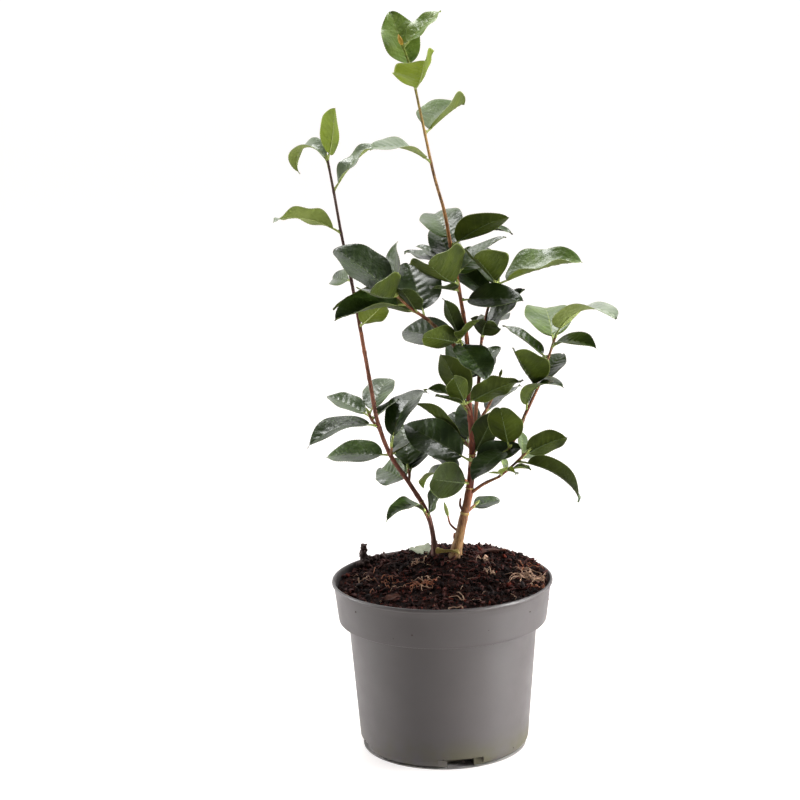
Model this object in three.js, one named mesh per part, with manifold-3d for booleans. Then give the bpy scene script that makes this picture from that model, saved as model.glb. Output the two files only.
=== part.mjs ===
// Camellia shrub, about 0.63 m tall, in a round 19 cm nursery pot.
// Millimetres, +Z up. The origin is the centre of the pot's flat underside.
// -Y is the plant's front and +X its right.
//
// Two stems rise from the compost. Side branches leave them, and every leafy
// shoot is one solid: a stem or spur with its leaves fused on.

import * as THREE from 'three';
import { mergeVertices } from 'three/addons/utils/BufferGeometryUtils.js';
import Module from 'manifold-3d';

const wasm = await Module();
wasm.setup();

// ---- Driving dimensions ----------------------------------------------------

const GAP = 0.3; // clearance between touching pieces

const POT_HEIGHT = 147;
const POT_WALL = 2;
const RIM_RADIUS = 95; // at the lip
const LIP_HEIGHT = 4; // the lip's bead, rounded over
const RIM_BAND = 35; // height of the thick band under the lip
const BAND_RADIUS = 89.6; // at the band's lower edge
const SHOULDER = 1.5; // fillet between the band and the body
const BODY_RADIUS = 81.4; // just under the band
const BASE_RADIUS = 73.2; // above the rounded bottom edge
const BASE_ROUNDING = 8;
const FLOOR_THICKNESS = 6;
const FOOT_NOTCH = { count: 4, first: -79, width: 38, height: 8, depth: 6 };
const ROUND_SIDES = 40; // sides of the pot and the compost

const COMPOST_EDGE = 142; // level of the compost against the pot
const COMPOST_HEAP = 15; // how much higher it lies round the stems
const HEAP_CENTRE = { x: 6, y: 33 };
const HEAP_SPREAD = 44;
const COMPOST_SLOPE = { x: 0.045, y: 0.035 }; // rises to the right and the back
const COMPOST_RINGS = [89, 76, 62, 48, 34, 20, 7]; // radii that its surface is made on
const COMPOST_CLEAR = 0.5; // from the pot's wall
const CRUMB = 1.6; // roughness of its surface, less round the middle

const GROUND = 157; // level of the flat cuts under the two stems
const LIMB_STEP = 9; // between the rings of a limb
const FLARE_FADE = 7; // height over which a root flare dies away

const SPUR_RADIUS = 1.3;
const PETIOLE = 0.12; // share of a leaf's length
const PETIOLE_RADIUS = 1;
const LEAF_THICKNESS = 1.2; // at the midrib
const LEAF_TIP = { half: 0.4, thickness: 0.7 }; // half width, and thickness at the very tip
const LEAF_STATIONS = [0, PETIOLE, 0.27, 0.5, 0.75, 0.92, 1];

// A kind of leaf: its width as a share of its length, and how far each half
// is folded up from flat, in degrees.
const KINDS = {
  round: { width: 0.78, fold: 14 },
  broad: { width: 0.66, fold: 13 },
  oval: { width: 0.56, fold: 15 },
  lance: { width: 0.46, fold: 18 },
  slim: { width: 0.38, fold: 24 },
  dish: { width: 0.76, fold: 27 },
  cup: { width: 0.84, fold: 40 },
  boat: { width: 0.64, fold: 42 },
  trough: { width: 0.48, fold: 44 },
};

// Leaves that fill the crown's far side: they fan out over `fan` degrees, and
// their other values lie between each pair.
const FILLING = { fan: 100, at: [0.6, 1], rise: [5, 40], roll: [-10, 10], length: [46, 60], curl: 25 };

// ---- Limbs -----------------------------------------------------------------
// Each limb is one tapering member. `path` runs along its axis, `radius` is
// its radius at the foot and at the tip, and `ease` bends the taper.

const LIMBS = {
  trunk: {
    path: [[12, 30, GROUND], [17, 29, 181], [25, 29, 217], [28, 28, 257],
      [25, 27, 305], [25, 26, 345], [19, 25, 390], [12, 24, 430]],
    radius: [4.5, 1.5],
    ease: 1.7,
    sides: 8,
    flare: 2,
    // cut stubs and one thin twig: height above the ground, heading, rise,
    // length and radius
    stubs: [[12, 190, 60, 10, 0.7], [40, 185, 62, 14, 0.8], [22, 178, 50, 32, 0.8]],
  },
  left_stem: {
    path: [[-6, 38, GROUND], [-8, 37, 179], [-13, 36, 197], [-27, 35, 222],
      [-43, 33, 248], [-54, 32, 280], [-58, 31, 305], [-66, 28, 358]],
    radius: [2.2, 1.6],
    ease: 1,
    sides: 7,
    flare: 1,
    stubs: [],
  },
  low_right_branch: {
    from: 'trunk',
    path: [[24, 29, 214], [37, 24, 223], [50, 20, 230]],
    radius: [1.5, 1.2],
  },
  right_branch: {
    from: 'trunk',
    path: [[26, 28, 234], [40, 30, 243], [55, 31, 249], [67, 33, 265], [74, 36, 281]],
    radius: [1.8, 1.4],
  },
  upper_right_branch: {
    from: 'trunk',
    path: [[28, 28, 250], [31, 35, 276], [33, 37, 300], [36, 38, 325], [37, 37, 345]],
    radius: [1.8, 1.3],
  },
  left_branch: {
    from: 'trunk',
    path: [[25, 26, 331], [8, 21, 352], [-8, 15, 369]],
    radius: [1.6, 1.4],
  },
};

// ---- Leafy shoots ----------------------------------------------------------
// `from` is the limb that a shoot grows on. Where the shoot carries a limb on,
// `tip` is true and its path starts at that limb's tip. Each leaf is
// [place along the stem, heading, rise, roll, length, curl, kind]: heading 0
// is +X and 90 is +Y, rise is above level, roll turns the upper face toward
// the leaf's right-hand side, and curl bends the leaf over from foot to tip.
// `more` adds that many leaves round the heading `side`, by the seeded rule.

const SHOOTS = {
  top_leaves: {
    from: 'trunk',
    tip: true,
    path: [[12, 24, 430], [7, 23, 460], [-1, 21, 490], [-10, 19, 535], [-20, 17, 583], [-26, 16, 600]],
    radius: [1.5, 0.9],
    leaves: [
      [0, 30, 6, 10, 66, 60, 'lance'],
      [0, 322, 24, -28, 70, 30, 'oval'],
      [0.02, 105, 22, -10, 56, 50, 'round'],
      [0.42, 215, 14, -12, 66, 48, 'oval'],
      [0.56, 58, 20, -12, 66, 10, 'cup'],
      [0.78, 276, 22, 24, 68, -20, 'cup'],
      [0.86, 128, 58, -22, 58, 10, 'broad'],
      [0.98, 22, 40, 20, 46, 20, 'oval'],
    ],
  },
  left_top_leaves: {
    from: 'left_stem',
    tip: true,
    path: [[-66, 28, 358], [-73, 25, 403], [-80, 23, 441], [-85, 22, 474], [-90, 20, 505]],
    radius: [1.6, 1],
    leaves: [
      [0.03, 305, 30, -35, 50, 0, 'oval'],
      [0.3, 115, -5, -50, 46, 20, 'lance'],
      [0.58, 215, 13, 35, 72, 60, 'slim'],
      [0.82, 35, 38, 0, 66, 40, 'slim'],
      [0.96, 140, -12, -12, 64, 200, 'slim'],
      [1, 78, 55, -110, 50, -10, 'broad'],
    ],
  },
  left_upper_leaves: {
    from: 'left_stem',
    path: [[-53, 32, 273], [-58, 32, 279], [-61, 34, 285]],
    more: 1,
    side: 70,
    leaves: [
      [0.1, 212, -8, -12, 74, 62, 'lance'],
      [0.8, 137, 12, -18, 58, 15, 'lance'],
      [0.6, 40, 25, -10, 34, 10, 'oval'],
    ],
    side: 125,
  },
  left_middle_leaves: {
    from: 'left_stem',
    path: [[-43, 33, 248], [-42, 28, 253], [-42, 24, 258]],
    leaves: [
      [1, 58, 30, -5, 80, 80, 'lance'],
      [0, 158, -6, -30, 64, 20, 'oval'],
      [0, 50, 15, -15, 42, 0, 'lance'],
    ],
  },
  left_low_leaves: {
    from: 'left_stem',
    path: [[-28, 35, 223], [-27, 40, 228], [-28, 44, 233]],
    more: 1,
    side: 95,
    leaves: [
      [0.6, 72, 30, -5, 52, 20, 'broad'],
      [0.2, 125, 0, -40, 48, 10, 'round'],
    ],
    side: 95,
  },
  left_foot_leaves: {
    from: 'left_stem',
    path: [[-10, 37, 189], [-13, 33, 194], [-14, 29, 198]],
    leaves: [
      [0.8, 225, 5, -15, 58, 90, 'slim'],
      [0.3, 330, 62, 60, 44, 10, 'lance'],
    ],
  },
  left_shoot_leaves: {
    from: 'left_branch',
    tip: true,
    path: [[-8, 15, 369], [-25, -1, 384], [-34, -17, 395]],
    radius: [1.4, 1],
    leaves: [
      [0.1, 105, 40, -5, 64, 20, 'round'],
      [0.3, 250, 35, -10, 46, 10, 'oval'],
      [0.15, 210, 2, 40, 84, 60, 'lance'],
      [0.62, 193, -14, -26, 66, 30, 'boat'],
      [0.95, 90, 40, -60, 60, 20, 'oval'],
      [1, 145, 50, -30, 66, 15, 'round'],
      [1, 262, 18, 22, 66, -20, 'cup'],
    ],
  },
  upper_right_leaves: {
    from: 'upper_right_branch',
    tip: true,
    path: [[37, 37, 345], [42, 36, 371], [48, 35, 389], [51, 35, 396]],
    radius: [1.3, 1],
    more: 1,
    side: 100,
    leaves: [
      [0.1, 270, 30, -25, 42, 10, 'round'],
      [0.23, 60, 10, 0, 44, 10, 'broad'],
      [0.08, 330, 42, 40, 58, 20, 'oval'],
      [0.62, 130, 30, 20, 52, 15, 'broad'],
      [0.75, 150, 20, -20, 50, 10, 'broad'],
      [0.98, 10, 14, 8, 78, 22, 'dish'],
      [1, 248, 30, 2, 62, 10, 'cup'],
    ],
    side: 80,
  },
  right_shoot_leaves: {
    from: 'right_branch',
    tip: true,
    path: [[74, 36, 281], [86, 39, 306], [95, 43, 330], [101, 45, 347]],
    radius: [1.4, 1],
    leaves: [
      [0.05, 312, 32, 12, 58, 110, 'oval'],
      [0.36, 243, 42, -12, 60, -10, 'cup'],
      [0.4, 60, 25, 10, 50, 20, 'oval'],
      [0.73, 135, 24, 5, 60, 10, 'slim'],
      [0.88, 310, 5, 20, 58, 60, 'lance'],
      [0.94, 95, 20, 0, 66, 40, 'round'],
      [1, 320, 20, -4, 76, 100, 'broad'],
    ],
  },
  right_fork_leaves: {
    from: 'right_branch',
    path: [[55, 31, 249], [58, 26, 252], [60, 21, 256]],
    leaves: [
      [0.7, 230, -20, -5, 54, 30, 'oval'],
      [0.9, 248, 58, 5, 48, 10, 'round'],
    ],
  },
  low_right_leaves: {
    from: 'low_right_branch',
    tip: true,
    path: [[50, 20, 230], [65, 14, 244], [74, 10, 254]],
    radius: [1.2, 0.9],
    leaves: [
      [0.1, 250, 25, 15, 36, 10, 'oval'],
      [0.25, 105, 20, 35, 30, 20, 'lance'],
      [0.3, 285, 5, -45, 28, 20, 'slim'],
      [0.35, 305, 10, 5, 32, 20, 'slim'],
      [0.65, 310, -15, -60, 84, 60, 'slim'],
      [0.75, 55, -5, 15, 38, 10, 'lance'],
      [0.85, 90, 30, 40, 34, 10, 'lance'],
      [0.85, 345, 26, -60, 44, 30, 'broad'],
    ],
  },
  right_middle_leaves: {
    from: 'trunk',
    path: [[27, 28, 268], [38, 36, 282], [48, 40, 300], [53, 42, 315]],
    leaves: [
      [0.35, 55, 15, -15, 64, 10, 'lance'],
      [0.7, 305, 25, -15, 44, 20, 'lance'],
    ],
    side: 95,
  },
  foot_leaves: {
    from: 'trunk',
    path: [[20, 29, 194], [26, 33, 199], [30, 36, 202]],
    leaves: [
      [0.6, 40, 5, 25, 34, 15, 'oval'],
    ],
  },
  low_left_leaves: {
    from: 'trunk',
    path: [[26, 29, 222], [20, 24, 228], [16, 20, 233]],
    leaves: [
      [0.1, 234, 14, 80, 60, 0, 'broad'],
      [0.85, 135, -25, -20, 62, 90, 'slim'],
      [1, 125, 5, 0, 46, 10, 'oval'],
    ],
  },
  low_front_leaves: {
    from: 'trunk',
    path: [[27, 28, 236], [26, 21, 241], [26, 16, 246]],
    leaves: [
      [0.95, 130, 10, -40, 78, 15, 'oval'],
      [1, 350, 26, 40, 48, 20, 'oval'],
    ],
  },
  low_back_leaves: {
    from: 'trunk',
    path: [[28, 28, 246], [26, 35, 253], [22, 41, 257]],
    more: 2,
    side: 70,
    leaves: [
      [0.6, 140, 10, 0, 70, 15, 'lance'],
      [0.8, 110, 25, -5, 42, 10, 'broad'],
      [1, 130, 20, 50, 60, 15, 'lance'],
      [0, 340, 62, -60, 50, 10, 'oval'],
    ],
    side: 80,
  },
  middle_front_leaves: {
    from: 'trunk',
    path: [[26, 27, 283], [25, 20, 290], [22, 14, 296]],
    leaves: [
      [0, 190, 30, -20, 50, 80, 'slim'],
      [1, 345, 25, -55, 52, 20, 'oval'],
      [1, 200, 62, 50, 48, 10, 'round'],
      [1, 215, 20, 0, 34, 10, 'oval'],
      [1, 275, 60, 40, 42, 10, 'oval'],
    ],
  },
  middle_back_leaves: {
    from: 'trunk',
    path: [[25, 27, 300], [23, 34, 307], [20, 39, 314]],
    more: 2,
    side: 78,
    leaves: [
      [0.8, 60, 20, 10, 50, 20, 'round'],
    ],
    side: 100,
  },
  upper_middle_leaves: {
    from: 'trunk',
    path: [[25, 26, 339], [22, 18, 345], [17, 15, 351]],
    leaves: [
      [0.7, 245, 55, -5, 56, 0, 'slim'],
      [0.8, 230, 15, 55, 52, 10, 'oval'],
      [1, 137, 0, -35, 70, 10, 'oval'],
      [1, 275, 45, 20, 52, 10, 'oval'],
      [1, 300, -30, 0, 52, 10, 'round'],
    ],
  },
  crown_front_leaves: {
    from: 'trunk',
    path: [[20, 25, 384], [18, 19, 392], [17, 13, 400]],
    leaves: [
      [0.6, 235, 10, 10, 40, 10, 'broad'],
      [1, 262, 26, 22, 84, -14, 'cup'],
      [0, 340, 2, 32, 56, 20, 'broad'],
    ],
  },
  crown_back_leaves: {
    from: 'trunk',
    path: [[19, 25, 393], [17, 32, 402], [14, 38, 409]],
    more: 3,
    side: 85,
    leaves: [
      [0.7, 55, 15, 30, 44, 10, 'broad'],
      [1, 135, 10, -10, 62, 20, 'lance'],
    ],
    side: 85,
  },
};

// ---- Colours ---------------------------------------------------------------

const MATERIALS = {
  pot: new THREE.MeshStandardMaterial({ color: 0x6b6765, roughness: 0.6, metalness: 0 }),
  compost: new THREE.MeshStandardMaterial({ color: 0x36201a, roughness: 1, metalness: 0 }),
  bark: new THREE.MeshStandardMaterial({ color: 0x7a4a34, roughness: 0.8, metalness: 0 }),
  leaf: new THREE.MeshStandardMaterial({ color: 0x3a5230, roughness: 0.35, metalness: 0 }),
};

// ---- Helpers ---------------------------------------------------------------

const group = new THREE.Group();
const radians = THREE.MathUtils.degToRad;

// The same number each time for the same `n`, from 0 to 1.
function seeded(n) {
  const s = Math.sin(n * 12.9898) * 43758.5453;
  return s - Math.floor(s);
}

// A closed BufferGeometry from rings of points, each ring the same length,
// with a flat cap on the first and the last.
function skin(rings) {
  const count = rings[0].length;
  const positions = rings.flat().flatMap((p) => [p.x, p.y, p.z]);
  const index = [];
  for (let r = 0; r + 1 < rings.length; r++) {
    for (let i = 0; i < count; i++) {
      const a = r * count + i;
      const b = r * count + ((i + 1) % count);
      index.push(a, b, a + count, b, b + count, a + count);
    }
  }
  const last = (rings.length - 1) * count;
  for (let i = 1; i + 1 < count; i++) {
    index.push(0, i + 1, i);
    index.push(last, last + i, last + i + 1);
  }
  const geometry = new THREE.BufferGeometry();
  geometry.setAttribute('position', new THREE.Float32BufferAttribute(positions, 3));
  geometry.setIndex(index);
  return geometry;
}

// three.js geometry to a solid that can be joined and cut, and back.
function solid(geometry) {
  const bare = geometry.clone();
  bare.deleteAttribute('normal');
  bare.deleteAttribute('uv');
  const merged = mergeVertices(bare, 1e-4);
  const made = new wasm.Manifold(new wasm.Mesh({
    numProp: 3,
    vertProperties: new Float32Array(merged.attributes.position.array),
    triVerts: new Uint32Array(merged.index.array),
  }));
  if (made.volume() < 0) throw new Error('a piece is inside out');
  return made;
}

function geometryOf(made) {
  const mesh = made.getMesh();
  const geometry = new THREE.BufferGeometry();
  geometry.setAttribute('position', new THREE.Float32BufferAttribute(mesh.vertProperties, 3));
  geometry.setIndex(Array.from(mesh.triVerts));
  geometry.computeVertexNormals();
  return geometry;
}

function place(name, made, material) {
  const mesh = new THREE.Mesh(geometryOf(made), material);
  mesh.name = name;
  group.add(mesh);
}

function vector([x, y, z]) {
  return new THREE.Vector3(x, y, z);
}

// Unit vector for a heading and a rise, in degrees.
function direction(heading, rise) {
  const h = radians(heading);
  const e = radians(rise);
  return new THREE.Vector3(Math.cos(h) * Math.cos(e), Math.sin(h) * Math.cos(e), Math.sin(e));
}

// ---- Pot and compost -------------------------------------------------------

function round(outline) {
  const points = outline.map(([r, z]) => new THREE.Vector2(r, z));
  return new THREE.LatheGeometry(points, ROUND_SIDES).rotateX(Math.PI / 2);
}

function pot() {
  const band = POT_HEIGHT - RIM_BAND;
  const bead = POT_WALL / 2;
  const corner = [0, 30, 60, 90].map((turn) => {
    const r = BASE_RADIUS - BASE_ROUNDING * (1 - Math.sin(radians(turn)));
    return [r, BASE_ROUNDING * (1 - Math.cos(radians(turn)))];
  });
  const outline = [
    [0, 0],
    ...corner,
    [BODY_RADIUS, band - 2 * SHOULDER],
    [BODY_RADIUS + SHOULDER, band],
    [BAND_RADIUS - bead, band],
    [BAND_RADIUS, band + bead],
    [RIM_RADIUS - bead, POT_HEIGHT - LIP_HEIGHT],
    [RIM_RADIUS, POT_HEIGHT - LIP_HEIGHT / 2],
    [RIM_RADIUS, POT_HEIGHT - bead],
    [RIM_RADIUS - bead, POT_HEIGHT],
    [RIM_RADIUS - POT_WALL, POT_HEIGHT - bead / 2],
    [BAND_RADIUS - POT_WALL, band + POT_WALL],
    [BODY_RADIUS - POT_WALL, band],
    [BASE_RADIUS - POT_WALL, FLOOR_THICKNESS],
    [0, FLOOR_THICKNESS],
  ];
  let made = solid(round(outline));
  const { count, first, width, height, depth } = FOOT_NOTCH;
  for (let i = 0; i < count; i++) {
    const notch = new THREE.BoxGeometry(2 * depth, width, 2 * height);
    notch.translate(BASE_RADIUS, 0, 0);
    notch.rotateZ(radians(first + (i * 360) / count));
    made = made.subtract(solid(notch));
  }
  return made;
}

function compostLevel(x, y) {
  const dx = x - HEAP_CENTRE.x;
  const dy = y - HEAP_CENTRE.y;
  const heap = Math.exp(-(dx * dx + dy * dy) / (2 * HEAP_SPREAD * HEAP_SPREAD));
  return COMPOST_EDGE + COMPOST_HEAP * heap + COMPOST_SLOPE.x * x + COMPOST_SLOPE.y * y;
}

// The compost fills the pot. Its sides follow the pot's inner wall, and its
// top is heaped round the stems, with a shallow seat cut for each.
function compost() {
  const inset = POT_WALL + COMPOST_CLEAR;
  const band = POT_HEIGHT - RIM_BAND;
  const top = COMPOST_EDGE - 3 * CRUMB;
  const bandSlope = (RIM_RADIUS - BAND_RADIUS) / RIM_BAND;
  const ring = (radius, level) => Array.from({ length: ROUND_SIDES }, (_, i) => {
    const turn = (i * 2 * Math.PI) / ROUND_SIDES;
    const x = radius * Math.cos(turn);
    const y = radius * Math.sin(turn);
    return new THREE.Vector3(x, y, level(x, y, i));
  });
  const sides = [
    [BASE_RADIUS - inset, FLOOR_THICKNESS + GAP],
    [BODY_RADIUS - inset, band + COMPOST_CLEAR],
    [BAND_RADIUS - inset, band + POT_WALL + COMPOST_CLEAR],
    [BAND_RADIUS - inset + bandSlope * (top - band - POT_WALL), top],
  ];
  const rings = sides.map(([radius, z]) => ring(radius, () => z));
  COMPOST_RINGS.forEach((radius, k) => {
    const rough = CRUMB * Math.min(1, radius / HEAP_SPREAD);
    rings.push(ring(radius, (x, y, i) => {
      const crumb = 2 * rough * (seeded(i * 7 + k * 131) - 0.5);
      return compostLevel(x, y) + crumb;
    }));
  });
  let made = solid(skin(rings));
  for (const name of ['trunk', 'left_stem']) {
    const [x, y] = LIMBS[name].path[0];
    const reach = LIMBS[name].radius[0] + LIMBS[name].flare + GAP;
    const depth = 2 * COMPOST_HEAP;
    const seat = new THREE.CylinderGeometry(reach, reach, depth, ROUND_SIDES / 2);
    seat.rotateX(Math.PI / 2).translate(x, y, GROUND - GAP + depth / 2);
    made = made.subtract(solid(seat));
  }
  return made;
}

// ---- Limbs -----------------------------------------------------------------

// A tapering limb along its path, `grow` mm thicker all over, with its foot
// cut level where it stands on the ground.
function limb({ path, radius, ease = 1, sides = 6, flare = 0 }, grow = 0) {
  const curve = new THREE.CatmullRomCurve3(path.map(vector));
  const length = curve.getLength();
  const steps = Math.max(3, Math.round(length / LIMB_STEP));
  const rings = [];
  let side = new THREE.Vector3(1, 0, 0);
  for (let k = 0; k <= steps; k++) {
    const u = k / steps;
    const along = curve.getTangentAt(u);
    if (k === 0 && flare > 0) along.set(0, 0, 1);
    side = side.clone().addScaledVector(along, -side.dot(along)).normalize();
    const up = new THREE.Vector3().crossVectors(along, side);
    const [foot, tip] = radius;
    const spread = flare * Math.exp(-(u * length) / FLARE_FADE);
    const r = tip + (foot - tip) * (1 - u) ** ease + spread + grow;
    const end = k === 0 ? -grow : k === steps ? grow : 0;
    const centre = curve.getPointAt(u).addScaledVector(along, end);
    rings.push(Array.from({ length: sides }, (_, i) => {
      const turn = (i * 2 * Math.PI) / sides;
      return centre.clone()
        .addScaledVector(side, r * Math.cos(turn))
        .addScaledVector(up, r * Math.sin(turn));
    }));
  }
  return solid(skin(rings));
}

function stub(centre, [, heading, rise, length, radius]) {
  const along = direction(heading, rise);
  const tip = centre.clone().addScaledVector(along, length);
  const path = [centre, centre.clone().lerp(tip, 0.5), tip].map((p) => p.toArray());
  return limb({ path, radius: [radius, radius * 0.8], sides: 5 });
}

// ---- Leaves ----------------------------------------------------------------

// Half the blade's width at `t` along it, as a share of its widest.
function outline(t) {
  const tipward = Math.max(0, (t - 0.75) / 0.25);
  return Math.sin(Math.PI * t ** 0.8) ** 0.6 * (1 - 0.45 * tipward * tipward);
}

// A leaf that starts at `foot`, inside its stem. It is folded along the
// midrib, thickest there, and bends over evenly along its length.
function leaf(foot, [, heading, rise, roll, length, curl, kind]) {
  const { width, fold } = KINDS[kind];
  const aim = direction(heading, rise);
  const level = direction(heading - 90, 0);
  const lift = new THREE.Vector3().crossVectors(level, aim);
  const turn = radians(roll);
  const side = level.clone().multiplyScalar(Math.cos(turn)).addScaledVector(lift, -Math.sin(turn));
  const face = lift.clone().multiplyScalar(Math.cos(turn)).addScaledVector(level, Math.sin(turn));
  const bend = radians(curl);
  const halfWidth = (width * length * (1 - PETIOLE)) / 2;
  const point = foot.clone();
  let before = 0;
  const rings = LEAF_STATIONS.map((t) => {
    const middle = bend * (0.5 - (t + before) / 2);
    point.addScaledVector(aim, Math.cos(middle) * (t - before) * length);
    point.addScaledVector(face, Math.sin(middle) * (t - before) * length);
    before = t;
    const here = bend * (0.5 - t);
    const normal = face.clone().multiplyScalar(Math.cos(here)).addScaledVector(aim, -Math.sin(here));
    const blade = Math.max(0, (t - PETIOLE) / (1 - PETIOLE));
    const least = t < 1 ? PETIOLE_RADIUS : LEAF_TIP.half;
    const half = Math.max(t < 1 ? halfWidth * outline(blade) : 0, least);
    const spread = half * Math.cos(radians(fold));
    const raise = half * Math.sin(radians(fold));
    const thick = blade === 0 ? PETIOLE_RADIUS : (t < 1 ? LEAF_THICKNESS : LEAF_TIP.thickness) / 2;
    return [
      point.clone().addScaledVector(side, -spread).addScaledVector(normal, raise),
      point.clone().addScaledVector(normal, thick),
      point.clone().addScaledVector(side, spread).addScaledVector(normal, raise),
      point.clone().addScaledVector(normal, -thick),
    ];
  });
  return solid(skin(rings));
}

// ---- Putting the plant together --------------------------------------------

const SWINGS = [[0, 0], [7, 0], [-7, 0], [0, 7], [0, -7], [12, 7], [-12, 7], [12, -7], [-12, -7],
  [20, 0], [-20, 0], [0, 16], [0, -16], [24, 14], [-24, 14], [24, -14], [-24, -14]];

function isClear(made, others) {
  return others.every((other) => made.minGap(other, GAP) >= GAP * 0.95);
}

// Leaves beyond the listed ones, fanned out round the heading `side`.
function moreLeaves({ more = 0, side = 90 }, seed) {
  const { fan, at, rise, roll, length, curl } = FILLING;
  return Array.from({ length: more }, (_, i) => {
    const pick = ([low, high], n) => low + (high - low) * seeded(seed * 17 + i * 3 + n);
    const heading = side + ((i + 0.5) / more - 0.5) * fan;
    return [pick(at, 1), heading, pick(rise, 2), pick(roll, 3), pick(length, 4), curl, 'oval'];
  });
}

place('pot', pot(), MATERIALS.pot);
place('compost', compost(), MATERIALS.compost);

const placed = {};
const sleeves = {};
for (const [name, spec] of Object.entries(LIMBS)) {
  let made = limb(spec);
  const curve = new THREE.CatmullRomCurve3(spec.path.map(vector));
  for (const row of spec.stubs ?? []) {
    const height = row[0];
    made = made.add(stub(curve.getPointAt(height / curve.getLength()), row));
  }
  if (spec.from) made = made.subtract(sleeves[spec.from]);
  sleeves[name] = limb(spec, GAP);
  placed[name] = made;
  place(name, made, MATERIALS.bark);
}

let seed = 0;
for (const [name, spec] of Object.entries(SHOOTS)) {
  seed += 1;
  const { path, radius = [SPUR_RADIUS, SPUR_RADIUS * 0.8] } = spec;
  const curve = new THREE.CatmullRomCurve3(path.map(vector));
  let made = limb({ path, radius, sides: 5 }).subtract(sleeves[spec.from]);
  const others = Object.values(placed);
  for (const row of [...spec.leaves, ...moreLeaves(spec, seed)]) {
    const foot = curve.getPointAt(row[0]);
    const swung = SWINGS.map(([h, e]) => [row[0], row[1] + h, row[2] + e, ...row.slice(3)]);
    const fits = swung.find((turned) => isClear(leaf(foot, turned), others));
    if (fits) made = made.add(leaf(foot, fits));
  }
  placed[name] = made;
  place(name, made, MATERIALS.leaf);
}

export default group;
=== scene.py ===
# %% [markdown]
# # A young camellia in a nursery pot
#
# The object is a camellia about 0.63 m tall, two years or so from a cutting, in a round 19 cm
# grey nursery pot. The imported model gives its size, its pot and its stems. This lesson dresses it:
# the pot gets its moulded lip, the compost its crumbs and roots, the stems their bark, and each
# leafy shoot its leathery leaves, grown again leaf by leaf, finer, in the same places.

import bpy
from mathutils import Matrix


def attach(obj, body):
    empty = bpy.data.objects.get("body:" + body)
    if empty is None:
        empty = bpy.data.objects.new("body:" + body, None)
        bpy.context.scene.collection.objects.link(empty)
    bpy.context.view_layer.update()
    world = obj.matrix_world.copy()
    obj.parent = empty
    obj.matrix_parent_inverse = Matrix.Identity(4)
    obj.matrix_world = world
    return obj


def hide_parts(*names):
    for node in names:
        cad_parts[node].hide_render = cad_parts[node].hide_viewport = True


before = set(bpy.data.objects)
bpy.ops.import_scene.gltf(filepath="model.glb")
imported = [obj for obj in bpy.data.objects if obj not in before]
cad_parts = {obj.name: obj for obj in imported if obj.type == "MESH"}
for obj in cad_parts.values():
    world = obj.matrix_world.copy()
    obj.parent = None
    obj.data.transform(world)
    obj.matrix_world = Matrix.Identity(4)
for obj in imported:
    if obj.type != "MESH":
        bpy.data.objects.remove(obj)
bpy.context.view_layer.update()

# %% [markdown]
# ## Small tools
#
# Plants are measured in millimetres, so the tables below are too, and `MM` turns them to metres.
# Everything random is drawn from seeded generators, so each run gives the same plant.
# Meshes are collected in a `Batch`: many leaves or crumbs become one joined piece. It also lays
# out two maps, one that says where a point is on its own leaf or stem, for the patterns, and an
# orderly one where each leaf has a cell of its own.

# %% Imports and units
import math
from functools import partial

import bmesh
import bpy
import numpy as np
from mathutils import Matrix, Quaternion, Vector, noise
from mathutils.bvhtree import BVHTree

MM = 0.001
UP = np.array([0.0, 0.0, 1.0])


def unit(v):
    return v / np.linalg.norm(v, axis=-1, keepdims=True)


def direction(heading, rise):
    """Unit vector for a heading (0 is +X, 90 is +Y) and a rise above level, in degrees."""
    h, e = math.radians(heading), math.radians(rise)
    return np.array([math.cos(h) * math.cos(e), math.sin(h) * math.cos(e), math.sin(e)])


def smooth(low, high, x):
    """0 below low, 1 above high and a smooth step between."""
    t = np.clip((x - low) / (high - low), 0, 1)
    return t * t * (3 - 2 * t)


# %% A smooth path
class Path:
    """A centripetal Catmull-Rom curve through points in millimetres, read by share of its length."""

    def __init__(self, points):
        p = np.array(points, float) * MM
        p = np.vstack([2 * p[0] - p[1], p, 2 * p[-1] - p[-2]])
        spots = []
        for a, b, c, d in zip(p, p[1:], p[2:], p[3:]):
            d0, d1, d2 = (math.sqrt(np.linalg.norm(s)) for s in (b - a, c - b, d - c))
            leave = ((b - a) / d0 - (c - a) / (d0 + d1) + (c - b) / d1) * d1
            reach = ((c - b) / d1 - (d - b) / (d1 + d2) + (d - c) / d2) * d1
            w = np.linspace(0, 1, 60, endpoint=False)[:, None]
            cubic = 2 * b - 2 * c + leave + reach
            square = 3 * c - 3 * b - 2 * leave - reach
            spots.append(b + leave * w + square * w**2 + cubic * w**3)
        self.spots = np.vstack([*spots, p[-2:-1]])
        steps = np.linalg.norm(np.diff(self.spots, axis=0), axis=1)
        self.far = np.concatenate([[0], np.cumsum(steps)])
        self.length = self.far[-1]

    def at(self, share):
        far = np.clip(share, 0, 1) * self.length
        return np.stack([np.interp(far, self.far, self.spots[:, k]) for k in range(3)], -1)

    def along(self, share):
        share = np.asarray(share, float)
        return unit(self.at(np.minimum(share + 0.01, 1)) - self.at(np.maximum(share - 0.01, 0)))


# %% Grids of points
SURFACE_MAP = "surface"  # where a point is on its own leaf, stem or crumb
BAKE_MAP = "OFBake"  # one cell for each of those


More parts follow.
